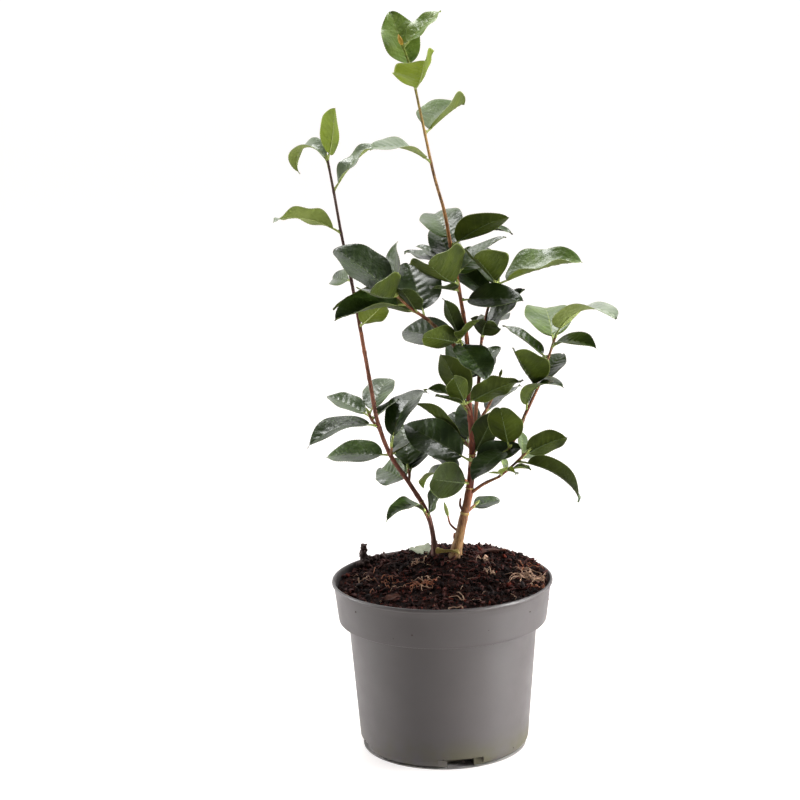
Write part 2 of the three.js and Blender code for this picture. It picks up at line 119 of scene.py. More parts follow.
def grid(rows, columns, closed=False):
    """Quads of a grid of points, row by row, and their places from 0 to 1 across and along."""
    r, c = np.meshgrid(np.arange(rows - 1), np.arange(columns - (0 if closed else 1)), indexing="ij")
    r, c = r.ravel(), c.ravel()
    after = (c + 1) % columns
    row, above = r * columns, (r + 1) * columns
    faces = np.stack([row + c, row + after, above + after, above + c], 1)
    across = np.stack([c, c + 1, c + 1, c], 1) / (columns - (0 if closed else 1))
    along = np.stack([r, r, r + 1, r + 1], 1) / (rows - 1)
    return faces, np.stack([across, along], -1)


# %% Joined meshes
class Batch:
    """Points and faces that are joined into one piece."""

    def __init__(self):
        self.points, self.faces, self.finishes, self.places, self.cells = [], [], [], [], []
        self.count = 0
        self.units = 0

    def add(self, points, patches):
        """patches is [(faces, finish number, places)], and each gets a cell of its own."""
        for faces, finish, places in patches:
            self.faces.extend((np.asarray(faces) + self.count).tolist())
            self.finishes.extend([finish] * len(faces))
            self.places.append(np.asarray(places).reshape(-1, 2))
            self.cells.append(np.full(len(self.places[-1]), self.units))
            self.units += 1
        self.points.append(points)
        self.count += len(points)

    def tube(self, rings, finish=0):
        """A closed tube through rings of points, with a flat cap at each end."""
        rows, sides = rings.shape[:2]
        faces, places = grid(rows, sides, closed=True)
        points = np.vstack([rings.reshape(-1, 3), rings[:1].mean(1), rings[-1:].mean(1)])
        turn = np.arange(sides)
        after = (turn + 1) % sides
        last = (rows - 1) * sides
        foot = np.stack([after, turn, np.full(sides, rows * sides)], 1)
        tip = np.stack([turn + last, after + last, np.full(sides, rows * sides + 1)], 1)
        flat = np.zeros((sides, 3, 2))
        self.add(points, [(faces, finish, places), (foot, finish, flat), (tip, finish, flat + 1)])

    def make(self, name, materials, slot, *nodes, repeat=0):
        """The joined piece. It rides on the root and stands for the nodes. Its `slot` is not used. Its
        parts share `repeat` cells, or have a cell each."""
        mesh = bpy.data.meshes.new(name)
        mesh.from_pydata(np.vstack(self.points).tolist(), [], self.faces)
        mesh.polygons.foreach_set("material_index", self.finishes)
        mesh.polygons.foreach_set("use_smooth", [True] * len(self.faces))
        places = np.vstack(self.places)
        cells = np.concatenate(self.cells) % (repeat or self.units)
        side = math.ceil(math.sqrt(repeat or self.units))
        mesh.uv_layers.new(name=SURFACE_MAP).uv.foreach_set("vector", places.ravel())
        inset = 0.04 + 0.92 * places
        laid = (np.stack([cells % side, cells // side], 1) + inset) / side
        mesh.uv_layers.new(name=BAKE_MAP).uv.foreach_set("vector", laid.ravel())
        for material in materials:
            mesh.materials.append(material)
        mesh.update()
        piece = bpy.data.objects.new(name, mesh)
        bpy.context.scene.collection.objects.link(piece)
        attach(piece, "root")
        if nodes:
            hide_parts(*nodes)
        print(f"{name}: {len(self.faces)} faces")
        return piece


# %% Rings round a path
def rings_round(path, radii, sides, relief=None, shares=None):
    """Rings of points round a path, evenly spaced unless their shares of its length are given.
    relief(turn, far) is added to the radius, and all are in metres."""
    shares = np.linspace(0, 1, len(radii)) if shares is None else shares
    centres, along = path.at(shares), path.along(shares)
    side = unit(np.cross(along[0], UP + 0.3))
    turn = np.arange(sides) * 2 * math.pi / sides
    rings = []
    for k, share in enumerate(shares):
        side = unit(side - along[k] * side.dot(along[k]))
        up = np.cross(along[k], side)
        r = np.full(sides, radii[k])
        if relief is not None:
            r = r + relief(turn, share * path.length)
        rings.append(centres[k] + np.outer(r * np.cos(turn), side) + np.outer(r * np.sin(turn), up))
    return np.array(rings)


# %% [markdown]
# ## Materials
#
# Every finish is a Principled shader that starts from the real substance. Colours are written as
# sRGB hex and turned to linear by one function. A pattern is a few nodes: a noise or a mask that
# mixes two colours, and a fine grain that feeds the bump. One small function adds any node.

# %% Material helpers
def linear(code, alpha=1.0):
    """An sRGB hex colour as the linear values that shaders take."""
    parts = [int(code[i:i + 2], 16) / 255 for i in (1, 3, 5)]
    return (*(c / 12.92 if c <= 0.04045 else ((c + 0.055) / 1.055) ** 2.4 for c in parts), alpha)


def node(tree, kind, inputs, **settings):
    """Adds a node and gives its outputs. An input is a value, or another node's output to link."""
    made = tree.nodes.new("ShaderNode" + kind)
    for name, value in settings.items():
        setattr(made, name, value)
    for name, value in inputs.items():
        if isinstance(value, bpy.types.NodeSocket):
            tree.links.new(value, made.inputs[name])
        else:
            made.inputs[name].default_value = value
    return made.outputs


def finish(name, sockets):
    """A new material, and `node` for its own tree. Plain values go on the shader's own sockets."""
    material = bpy.data.materials.new(name)
    material.use_nodes = True
    shader = material.node_tree.nodes["Principled BSDF"]
    for socket, value in sockets.items():
        shader.inputs[socket].default_value = value
    return material, partial(node, material.node_tree)


def wear(material, add, colour=None, roughness=None, height=None, depth=0.0001):
    """Links a pattern's colour, roughness and height into the shader."""
    normal = add("Bump", {"Height": height, "Strength": 1.0, "Distance": depth})["Normal"]
    shader = material.node_tree.nodes["Principled BSDF"]
    for socket, pattern in (("Base Color", colour), ("Roughness", roughness), ("Normal", normal)):
        if pattern is not None:
            material.node_tree.links.new(pattern, shader.inputs[socket])
    return material


FACTOR, FIRST, SECOND, MIXED = 0, 6, 7, 2  # sockets of a colour Mix node

# %% [markdown]
# ## The nursery pot
#
# The real pot is injection-moulded polypropylene: one thin skin with a thick band under its lip,
# a rounded foot, and drainage notches cut into that foot, each with a short leg at either end.
# A lathed profile gives the skin. The notches are cut by Booleans, because their edges are crisp.

# %% Grey polypropylene
# Moulded polypropylene is satin: IOR 1.49, roughness near 0.5, with a faint spark-eroded grain.
# Handling leaves pale scuffs, and watering leaves a green-brown bloom near the foot.
POT_GREY, POT_PALE, POT_BLOOM = "#3f3b3b", "#4a4544", "#413e26"


def grey_polypropylene():
    material, add = finish("grey_polypropylene", {"IOR": 1.49, "Roughness": 0.48})
    place = add("TexCoord", {})["Object"]
    cloud = add("TexNoise", {"Vector": place, "Scale": 14.0, "Detail": 5.0})
    tint = add("MapRange", {"Value": cloud[0], 1: 0.35, 2: 0.75, 4: 0.35})
    body = add("Mix", {FACTOR: tint[0], FIRST: linear(POT_GREY), SECOND: linear(POT_PALE)},
               data_type="RGBA")
    height = add("SeparateXYZ", {"Vector": place})["Z"]
    low = add("MapRange", {"Value": height, 1: 0.034, 2: 0.002, 3: 0.0, 4: 1.0},
              interpolation_type="SMOOTHSTEP")
    patch = add("TexNoise", {"Vector": place, "Scale": 38.0, "Detail": 6.0})
    stain = add("MapRange", {"Value": patch[0], 1: 0.4, 2: 0.62, 4: 0.9})
    both = add("Math", {0: low[0], 1: stain[0]}, operation="MULTIPLY")
    coloured = add("Mix", {FACTOR: both[0], FIRST: body[MIXED], SECOND: linear(POT_BLOOM)},
                   data_type="RGBA")
    grain = add("TexNoise", {"Vector": place, "Scale": 1400.0, "Detail": 2.0})
    dull = add("MapRange", {"Value": patch[0], 1: 0.3, 2: 0.7, 3: 0.42, 4: 0.58})
    return wear(material, add, coloured[MIXED], dull[0], grain[0], 0.00004)


# %% The pot's profile
POT_HEIGHT, POT_WALL = 147, 1.6
LIP_RADIUS, LIP_BEAD, BAND_HEIGHT, BAND_RADIUS = 95, 1.25, 35, 89.6
BODY_RADIUS, BASE_RADIUS, BASE_ROUNDING = 81.4, 73.2, 8
NOTCH = {"count": 4, "first": -79, "width": 39, "height": 9, "leg": 8, "leg_set_back": 5, "depth": 17}
POT_SIDES = 192


def arc(centre, radius, start, stop, steps):
    """Points on an arc, in degrees, as (radius, height) pairs."""
    turns = np.radians(np.linspace(start, stop, steps))
    return [(centre[0] + radius * math.cos(t), centre[1] + radius * math.sin(t)) for t in turns]


def pot_profile():
    band = POT_HEIGHT - BAND_HEIGHT
    wall = lambda z: BAND_RADIUS + (LIP_RADIUS - LIP_BEAD - BAND_RADIUS) * (z - band) / BAND_HEIGHT
    slope = (BODY_RADIUS - BASE_RADIUS) / (band - BASE_ROUNDING)
    body = lambda z: BASE_RADIUS + slope * (z - BASE_ROUNDING)
    outside = [(0, 0), (30, 0), (31, 0.6), (33, 0.6), (34, 0), (58, 0)]  # with a ring groove underneath
    outside += arc((BASE_RADIUS - BASE_ROUNDING, BASE_ROUNDING), BASE_ROUNDING, -90, 0, 10)
    outside += [(body(z), z) for z in np.linspace(18, band - 4, 9)]
    outside += arc((BODY_RADIUS + 2.2, band - 2.4), 2.2, 180, 90, 5)
    outside += arc((BAND_RADIUS - 1.2, band + 1.0), 1.2, -90, -5, 5)
    outside += [(wall(z), z) for z in np.linspace(band + 4, POT_HEIGHT - 4.2, 6)]
    outside += [(LIP_RADIUS - LIP_BEAD + 0.1, POT_HEIGHT - 3.4)]
    outside += arc((LIP_RADIUS - LIP_BEAD, POT_HEIGHT - LIP_BEAD - 0.6), LIP_BEAD, -40, 30, 4)
    outside += arc((LIP_RADIUS - LIP_BEAD, POT_HEIGHT - LIP_BEAD), LIP_BEAD, 40, 150, 6)
    inside = [(wall(z) - POT_WALL, z) for z in np.linspace(POT_HEIGHT - 2.5, band + 2, 6)]
    inside += [(body(z) - POT_WALL, z) for z in np.linspace(band - 1, 8, 5)]
    return np.array(outside + inside + [(BASE_RADIUS - 10, 5), (0, 5)]) * MM


print("pot, millimetres across and high:", (2 * pot_profile().max(0)[0] / MM).round(1), POT_HEIGHT)


# %% Turn the pot and cut its notches
def cutter(radius, heading, width, height, depth):
    """A box set in the pot's foot, to cut with."""
    box = bmesh.new()
    size = Matrix.Diagonal((2 * depth * MM, width * MM, 2 * height * MM, 1))
    turn = Matrix.Rotation(math.radians(heading), 4, "Z")
    bmesh.ops.create_cube(box, size=1, matrix=turn @ Matrix.Translation((radius * MM, 0, 0)) @ size)
    mesh = bpy.data.meshes.new("cutter")
    box.to_mesh(mesh)
    made = bpy.data.objects.new("cutter", mesh)
    bpy.context.scene.collection.objects.link(made)
    return made


def turned_pot():
    profile = pot_profile()
    turn = np.arange(POT_SIDES) * 2 * math.pi / POT_SIDES
    rim = profile[1:-1]
    rings = np.stack([rim[:, :1] * np.cos(turn), rim[:, :1] * np.sin(turn),
                      np.repeat(rim[:, 1:], POT_SIDES, 1)], -1)
    batch = Batch()
    batch.tube(rings)
    pot = batch.make("nursery_pot", [grey_polypropylene()], "pot", "pot")
    cuts = []
    for k in range(NOTCH["count"]):
        heading = NOTCH["first"] + k * 360 / NOTCH["count"]
        cuts.append(cutter(BASE_RADIUS, heading, NOTCH["width"], NOTCH["height"], NOTCH["leg_set_back"]))
        inner = NOTCH["width"] - 2 * NOTCH["leg"]
        cuts.append(cutter(BASE_RADIUS, heading, inner, NOTCH["height"] - 1, NOTCH["depth"]))
    bpy.context.view_layer.objects.active = pot
    for cut in cuts:
        modifier = pot.modifiers.new("notch", "BOOLEAN")
        modifier.object = cut
        modifier.operation = "DIFFERENCE"
        modifier.solver = "EXACT"
        bpy.ops.object.modifier_apply(modifier=modifier.name)
    for cut in cuts:
        bpy.data.objects.remove(cut)
    pot.data.set_sharp_from_angle(angle=math.radians(38))
    return pot


pot = turned_pot()
print("with its notches cut:", len(pot.data.polygons), "faces")

# %% [markdown]
# ## The compost
#
# Nursery compost is damp peat with bark chips and old roots in it. It is nearly black, with rusty
# chips and pale fibres that catch the light. A bed is laid first, as a height field heaped round
# the stems. Thousands of small broken lumps are strewn on it, each a rough stone shape turned at
# random, and then chips, roots and a few fallen leaves.

# %% Damp peat
# Damp peat scatters little light: it is nearly black, with rusty bits. Its pores trap most of the
# glint, so its IOR is set well under the 1.4 of the water in it.
PEAT_IOR = 1.24
PEAT_DARK, PEAT_BROWN = "#100605", "#2a120c"
FIBRE_COLOURS = {"root_pale": "#a8876f", "root_rust": "#8a5236"}


def damp_peat():
    material, add = finish("damp_peat", {"IOR": PEAT_IOR, "Roughness": 0.9})
    place = add("TexCoord", {})["Object"]
    lumps = add("TexNoise", {"Vector": place, "Scale": 260.0, "Detail": 6.0})
    mask = add("MapRange", {"Value": lumps[0], 1: 0.4, 2: 0.65})
    colour = add("Mix", {FACTOR: mask[0], FIRST: linear(PEAT_DARK), SECOND: linear(PEAT_BROWN)},
                 data_type="RGBA")
    return wear(material, add, colour[MIXED], None, lumps[0], 0.0012)


def rough_bit(name, colour, roughness=0.8, grain=900.0, ior=1.4):
    """A crumb, chip or root: one plain colour, with a grain that only roughens the surface."""
    material, add = finish(name, {"IOR": ior, "Roughness": roughness, "Base Color": linear(colour)})
    place = add("TexCoord", {})["Object"]
    grains = add("TexNoise", {"Vector": place, "Scale": grain, "Detail": 3.0})
    return wear(material, add, height=grains[0], depth=0.0005)


# %% The bed
BED_EDGE, BED_HEAP, HEAP_AT, HEAP_SPREAD = 142, 14.2, (6, 33), 44
BED_SLOPE = (0.045, 0.035)
BED_RADIUS = 91.6
BED_SINK = 1.4  # the bed lies this much lower than the tops of its crumbs
SKIRT_LEVEL, SKIRT_SHARE = 118, 0.95  # its edge goes down inside the pot's band, to here


def lumpy(x, y, scale, layer, rule=noise.noise, *settings):
    """A noise rule read at each place, `scale` of its steps to the millimetre."""
    return np.array([rule(Vector((a * scale, b * scale, layer)), *settings)
                     for a, b in zip(np.ravel(x), np.ravel(y))]).reshape(np.shape(x))


def bed_level(x, y):
    """Height of the compost in millimetres at a place in millimetres."""
    heap = np.exp(-((x - HEAP_AT[0]) ** 2 + (y - HEAP_AT[1]) ** 2) / (2 * HEAP_SPREAD**2))
    hollows = lumpy(x, y, 0.055, 3.1, noise.fractal, 1.0, 2.0, 3)
    clods = lumpy(x, y, 0.2, 7.3)
    return BED_EDGE + BED_HEAP * heap + BED_SLOPE[0] * x + BED_SLOPE[1] * y + 1.5 * hollows + 1.8 * clods


def compost_bed():
    radii = np.concatenate([np.linspace(1, 86, 58), np.linspace(87, BED_RADIUS, 5)])
    turn = np.arange(180) * 2 * math.pi / 180
    x, y = np.outer(radii, np.cos(turn)), np.outer(radii, np.sin(turn))
    z = bed_level(x, y) - BED_SINK + 1.1 * lumpy(x, y, 0.35, 0.7, noise.fractal, 0.9, 2.1, 4)
    rings = np.stack([x, y, z], -1)[::-1] * MM
    skirt = rings[:1].copy()
    skirt[..., 2] = SKIRT_LEVEL * MM
    skirt[..., :2] *= SKIRT_SHARE
    batch = Batch()
    batch.tube(np.concatenate([skirt, rings]))
    return batch.make("compost_bed", [damp_peat()], "compost", "compost")


compost_bed()


# %% Crumbs
def rough_stone():
    """The points and faces of a small round body, to be broken and turned."""
    ball = bmesh.new()
    bmesh.ops.create_icosphere(ball, subdivisions=1, radius=1)
    points = np.array([v.co for v in ball.verts])
    faces = np.array([[v.index for v in f.verts] for f in ball.faces])
    ball.free()
    return points, faces


def any_turns(rng, count):
    """Random rotations, as matrices."""
    return np.array([Quaternion(q).normalized().to_matrix() for q in rng.normal(size=(count, 4))])


def strewn(rng, count, reach=BED_RADIUS - 1.5):
    """Places in millimetres, even over the bed."""
    r, a = reach * np.sqrt(rng.random(count)), rng.random(count) * 2 * math.pi
    return r * np.cos(a), r * np.sin(a)


# %% Strew the crumbs
# how many, their size and their colour
CRUMBS = {
    "peat_black": (1900, 1.5, "#130706"), "peat_brown": (1700, 1.4, "#2c120c"),
    "bark_red": (320, 1.3, "#5c2419"), "peat_grey": (110, 1.0, "#3a231b"),
}


def crumbs(name, count, size, colour, rng):
    points, faces = rough_stone()
    x, y = strewn(rng, count)
    big = size * np.exp(rng.normal(0, 0.42, count))
    wide, thick = rng.uniform(0.3, 0.75, count), rng.uniform(0.2, 0.55, count)
    stretch = np.stack([big, big * wide, big * thick], -1)
    knocked = points * rng.uniform(0.6, 1.4, (count, len(points), 1)) * stretch[:, None]
    turned = np.einsum("nij,npj->npi", any_turns(rng, count), knocked)
    lie = np.stack([x, y, bed_level(x, y) - BED_SINK + big * rng.uniform(0.0, 0.6, count)], -1)
    batch = Batch()
    places = np.zeros((len(faces), 3, 2)) + np.array([[0, 0], [1, 0], [0.5, 1]])
    for body in (turned + lie[:, None]) * MM:
        batch.add(body, [(faces, 0, places)])
    skin = rough_bit(name, colour, ior=PEAT_IOR)
    return batch.make(f"crumbs_{name}", [skin], "compost", "compost", repeat=16)


for k, (name, kind) in enumerate(CRUMBS.items()):
    crumbs(name, *kind, np.random.default_rng(40 + k))


# %% Bark chips
def chip(batch, rng, place, size, lean):
    """A splinter of bark: a flat slab with broken ends."""
    long, wide, thick = size
    stations = np.linspace(-0.5, 0.5, 5)
    width = wide * (1 - 0.7 * np.abs(2 * stations) ** 2.5) * rng.uniform(0.8, 1.15, 5)
    corners = np.array([[-0.5, -0.5], [0, -0.62], [0.5, -0.5], [0.5, 0.5], [0, 0.62], [-0.5, 0.5]])
    rings = np.array([[[long * at, across * w, up * thick] for across, up in corners]
                      for at, w in zip(stations, width)])
    rings = rings + rng.normal(0, 0.06 * wide, rings.shape)
    turn = Matrix.Rotation(rng.uniform(0, 2 * math.pi), 3, "Z")
    tip = Matrix.Rotation(math.radians(rng.normal(0, lean)), 3, "Y")
    roll = Matrix.Rotation(rng.normal(0, 0.5), 3, "X")
    batch.tube((rings @ np.array(turn @ tip @ roll).T + place) * MM)


CHIP_COUNT, HEAPED_CHIPS = 420, 40
RIDGE_START, RIDGE_RUN, RIDGE_LEVEL = (-76, 41), (30, 27), 146
rng = np.random.default_rng(7)
chips = Batch()
for x, y in zip(*strewn(rng, CHIP_COUNT)):
    size = (rng.uniform(3, 8), rng.uniform(1.0, 2.8), rng.uniform(0.5, 1.4))
    chip(chips, rng, (x, y, float(bed_level(x, y)) + 0.2), size, 20)
chips.make("bark_chips", [rough_bit("bark_chip", "#3c150e", 0.7, 500.0, 1.3)], "compost", "compost")

# One thick piece of bark stands on end at the back left, in a low ridge of chips.
standing = Batch()
stake = Path([[-68, 52, 143], [-69.5, 53, 154], [-68.5, 52, 163]])
knobbly = lambda turn, far: (0.8 * np.sin(3 * turn + 900 * far) + 0.5 * np.sin(5 * turn - 2100 * far)) * MM
standing.tube(rings_round(stake, np.linspace(4.4, 2.4, 14) * MM, 12, knobbly))
for _ in range(HEAPED_CHIPS):
    along, across = rng.random(), rng.uniform(3, 6.5)
    x, y = (start + run * along + rng.normal(0, 2.0) for start, run in zip(RIDGE_START, RIDGE_RUN))
    height = RIDGE_LEVEL + 2.5 * math.sin(math.pi * along) + rng.uniform(0, 1.5)
    chip(standing, rng, (x, y, height), (across, 0.6 * across, 0.45 * across), 40)
standing.make("standing_bark", [rough_bit("old_bark", "#2b1712", 0.75, 400.0)], "compost", "compost")


# %% Specks on the pot
BAND_FLARE = 4.2  # how much wider the band is at its lip


def pot_specks(count, rng):
    """Crumbs that stick to the pot's foot and to the underside of its band after watering."""
    points, faces = rough_stone()
    batch = Batch()
    for k in range(count):
        height = rng.uniform(3, 10) if k % 3 else rng.uniform(116, 140)
        if k % 3:
            radius = BASE_RADIUS - 0.6 * max(0, BASE_ROUNDING - height)
        else:
            radius = BAND_RADIUS + (height - POT_HEIGHT + BAND_HEIGHT) / BAND_HEIGHT * BAND_FLARE
        turn, size = rng.uniform(0, 2 * math.pi), rng.uniform(0.35, 0.9)
        at = np.array([radius * math.cos(turn), radius * math.sin(turn), height])
        body = points * rng.uniform(0.6, 1.3, (len(points), 1)) * size + at
        batch.add(body * MM, [(faces, 0, np.zeros((len(faces), 3, 2)))])
    return batch.make("pot_specks", [rough_bit("stuck_peat", "#24130d")], "compost", "compost")


pot_specks(60, np.random.default_rng(21))

# %% [markdown]
# ### Roots in the compost
#
# Fine roots from the last potting lie in tangles. Each is a thin tube that wanders as it goes. Where
# the tangles show, they are listed by place, and a few loose fibres are strewn between them.

# %% Roots
# place, reach of the tangle, number of fibres, length of each, colour
TANGLES = [
    ((74, -8), 15, 26, 25, "root_pale"),
    ((70, 14), 10, 6, 14, "root_rust"),
    ((84, -32), 6, 5, 12, "root_rust"),
    ((-17, -21), 12, 13, 14, "root_rust"),
    ((-14, -18), 10, 6, 16, "root_pale"),
    ((-50, 0), 22, 9, 11, "root_rust"),
    ((-72, 6), 4, 3, 14, "root_pale"),
    ((-38, -20), 5, 2, 10, "root_pale"),
    ((43, -2), 6, 6, 8, "root_pale"),
    ((34, 22), 8, 6, 9, "root_pale"),
    ((-20, 24), 12, 6, 9, "root_pale"),
]
LOOSE_FIBRES = 46
print("roots in tangles:", sum(count for _, _, count, _, _ in TANGLES))


# %% Grow the roots
def fibre(batch, rng, x, y, length, radius, heading=None, lift=1.3):
    """A thin root that wanders over the bed from a place in millimetres."""
    turn = rng.uniform(0, 2 * math.pi) if heading is None else math.radians(heading)
    points = []
    steps = 7
    for k in range(steps):
        arch = lift * (0.3 + rng.random()) * math.sin(math.pi * (k + 0.6) / steps)
        points.append([x, y, float(bed_level(x, y)) + arch])
        turn += rng.normal(0, 0.55)
        x, y = x + length / steps * math.cos(turn), y + length / steps * math.sin(turn)
        if math.hypot(x, y) > BED_RADIUS - 2:
            turn += math.pi / 2
            x, y = points[-1][:2]
    taper = radius * np.linspace(1.1, 0.45, 22) * MM
    batch.tube(rings_round(Path(points), taper, 6))


roots = {name: Batch() for name in FIBRE_COLOURS}
rng = np.random.default_rng(11)
for (x, y), reach, count, length, colour in TANGLES:
    for _ in range(count):
        dx, dy = rng.normal(0, reach / 2.4, 2)
        drawn = length * rng.uniform(0.6, 1.3)
        fibre(roots[colour], rng, x + dx, y + dy, drawn, rng.uniform(0.3, 0.52), lift=3.4)
for x, y in zip(*strewn(rng, LOOSE_FIBRES, 84)):
    fibre(roots["root_pale"], rng, x, y, rng.uniform(3, 8), 0.25)
# A forked root lies at the front, in the shape of a Y.
for x, y, heading, length in ((17, -76, 84, 26), (18, -52, 60, 18), (18, -52, 125, 17)):
    fibre(roots["root_pale"], rng, x, y, length, 0.6, heading, 2.5)
for name, batch in roots.items():
    batch.make(name, [rough_bit(name, FIBRE_COLOURS[name], 0.6)], "compost", "compost")

# %% [markdown]
# ## Stems and bark
#
# A camellia stem is smooth when young and tan with fine lengthwise flakes when older. It swells a
# little at each node, where a leaf or twig once grew. A tube swept along each limb's path, with
# rings close enough together for a relief of ridges and nodes, shows this where a bump map couldn't:
# in the outline.

# %% Limbs
# Paths and radii are in millimetres. The radius runs from foot to tip, `ease` bends its taper and
# `flare` widens its foot. The two stems start BURIED under the compost's surface. A stub is (height
# above the surface, heading, rise, length, radius), with the length of its green bud last if it has
# one. A scar is (height, width): the corky ring that an old leaf or bud left behind.
GROUND, BURIED = 157, 9
LIMBS = {
    "trunk": {
        "path": [[12, 30, GROUND - BURIED], [12, 30, GROUND], [17, 29, 181], [25, 29, 217], [28, 28, 257],
                 [25, 27, 305], [25, 26, 345], [19, 25, 390], [12, 24, 430]],
        "radius": (4.5, 1.5), "ease": 1.7, "flare": 2, "bark_kind": "old",
        "stubs": [[12, 190, 60, 10, 0.9], [40, 185, 62, 14, 0.9], [22, 176, 42, 19, 0.8, 13]],
        "scars": [[40, 2.2], [63, 1.2], [93, 1.4]],
    },
    "left_stem": {
        "path": [[-6, 38, GROUND - BURIED], [-6, 38, GROUND], [-8, 37, 179], [-13, 36, 197],
                 [-27, 35, 222], [-43, 33, 248], [-54, 32, 280], [-58, 31, 305], [-66, 28, 358]],
        "radius": (2.2, 1.6), "flare": 1, "bark_kind": "red", "scars": [[50, 0.8]],
    },
    "low_right_branch": {"path": [[25, 29, 213], [37, 24, 223], [50, 20, 230]], "radius": (1.5, 1.2)},
    "right_branch": {
        "path": [[26, 28, 234], [40, 30, 243], [55, 31, 249], [67, 33, 265], [74, 36, 281]],
        "radius": (1.8, 1.4),
    },
    "upper_right_branch": {
        "path": [[28, 28, 250], [31, 35, 276], [33, 37, 300], [36, 38, 325], [37, 37, 345]],
        "radius": (1.8, 1.3),
    },
    "left_branch": {"path": [[25, 26, 331], [8, 21, 352], [-8, 15, 369]], "radius": (1.6, 1.4)},
}

# %% Bark
# Thin smooth bark scatters softly: IOR near 1.4, roughness near 0.65. Its flakes are about 0.5 mm wide
# and several times as long, and they run up the stem. The colour goes from foot to tip.
BARKS = {
    "old": ("#8a683e", "#7a3a22", "#a8663c"),
    "red": ("#6e4a42", "#7a4636", "#9c6246"),
    "young": ("#7a4a34", "#8f5c3e", "#94704a"),
    "leader": ("#b5763f", "#c49862", "#8a9a3c"),
    "dark": ("#7a4c3a", "#4f3634", "#5c4a3e"),
}


def thin_bark(name, foot, middle, tip):
    material, add = finish(f"thin_bark_{name}", {"IOR": 1.36, "Roughness": 0.65})
    along = add("SeparateXYZ", {"Vector": add("UVMap", {}, uv_map=SURFACE_MAP)[0]})[1]
    low = add("MapRange", {"Value": along, 1: 0.1, 2: 0.26})
    high = add("MapRange", {"Value": along, 1: 0.5, 2: 0.95})
    lower = add("Mix", {FACTOR: low[0], FIRST: linear(foot), SECOND: linear(middle)},
                data_type="RGBA")
    base = add("Mix", {FACTOR: high[0], FIRST: lower[MIXED], SECOND: linear(tip)},
               data_type="RGBA")
    place = add("TexCoord", {})["Object"]
    drawn = add("Mapping", {"Vector": place, "Scale": (1.0, 1.0, 0.16)})
    flakes = add("TexNoise", {"Vector": drawn[0], "Scale": 1500.0, "Detail": 5.0})
    patches = add("TexNoise", {"Vector": drawn[0], "Scale": 230.0, "Detail": 4.0})
    both = add("Math", {0: flakes[0], 1: patches[0]}, operation="ADD")
    dark = add("MapRange", {"Value": both[0], 1: 1.12, 2: 0.82, 4: 0.8})
    streaked = add("Mix", {FACTOR: dark[0], FIRST: base[MIXED], SECOND: linear("#36201a")},
                   data_type="RGBA")
    return wear(material, add, streaked[MIXED], None, flakes[0], 0.00035)


bark = {name: thin_bark(name, *colours) for name, colours in BARKS.items()}
print("barks:", ", ".join(bark))


# %% Sweep the limbs
def bark_relief(radius, nodes, seed):
    """Ridges that wander up the stem, and a swelling at each node (all in metres)."""
    def relief(turn, far):
        ridges = [noise.noise(Vector((2.2 * math.cos(a), 2.2 * math.sin(a), 90 * far + seed)))
                  for a in turn]
        swell = sum(math.exp(-(((far - spot) / 0.0022) ** 2)) for spot in nodes)
        return radius * (0.09 * np.array(ridges) + 0.16 * swell)
    return relief


def bud(batch, foot, way, length, radius, finish_number=1):
    """A pointed bud: an egg shape drawn out along its way."""
    share = np.linspace(0, 1, 9)
    shape = np.sin(math.pi * np.clip(share * 0.92 + 0.08, 0, 1) ** 0.8) ** 0.8
    line = Path([foot / MM, foot / MM + way * length])
    batch.tube(rings_round(line, (0.08 + shape) * radius * MM, 8), finish_number)


green_stalk = rough_bit("green_stalk", "#8d9a4f", 0.45)
corky_scar = rough_bit("corky_scar", "#97804b")


def limb(name, seed, path, radius, ease=1, flare=0, bark_kind="young", stubs=(), scars=()):
    """A stem with its relief, its cut stubs and its scars, joined."""
    line = Path(path)
    share = np.linspace(0, 1, max(6, round(line.length / (1.2 * MM))))
    size = radius[1] + (radius[0] - radius[1]) * (1 - share) ** ease
    size = size + flare * np.exp(-np.maximum(share * line.length / MM - BURIED, 0) / 7)
    nodes = np.arange(0.02, line.length, 0.023)
    batch = Batch()
    batch.tube(rings_round(line, size * MM, 24, bark_relief(radius[1] * MM, nodes, seed)))
    for height, wide in scars:
        belt = ((height + BURIED + np.linspace(-0.5, 0.5, 5) * wide) * MM) / line.length
        round_it = np.interp(belt, share, size) + 0.5 * np.sin(np.linspace(0.1, 0.9, 5) * math.pi)
        batch.tube(rings_round(line, round_it * MM, 20, bark_relief(2 * MM, [], seed), belt), 2)
    for height, heading, rise, length, thick, *tip in stubs:
        foot = line.at((height + BURIED) * MM / line.length) / MM
        way = Path([foot, foot + direction(heading, rise) * length * 0.6,
                    foot + direction(heading, rise + 14) * length])
        spread = np.linspace(1.5, 0.9, 12) * thick * MM
        batch.tube(rings_round(way, spread, 10, bark_relief(thick * MM, [], seed + 5)))
        if tip:
            bud(batch, way.at(0.97), way.along(1), tip[0], 1.7)
    return batch.make(f"{name}_bark", [bark[bark_kind], green_stalk, corky_scar], "bark", name)


for k, (name, spec) in enumerate(LIMBS.items()):
    limb(name, 10 * k, **spec)

# %% [markdown]
# ## Leaves
#
# A camellia leaf is leathery, 4 to 8 cm long, folded along its midrib, finely toothed, and bent back
# at its drawn-out tip. Its upper side is dark and polished and its lower side is olive and matt, so
# each leaf is a thin closed shell with a finish for each side. Eight pairs of veins lie a little sunk
# and the skin swells between them. That relief is in the mesh, because it breaks up the highlights.

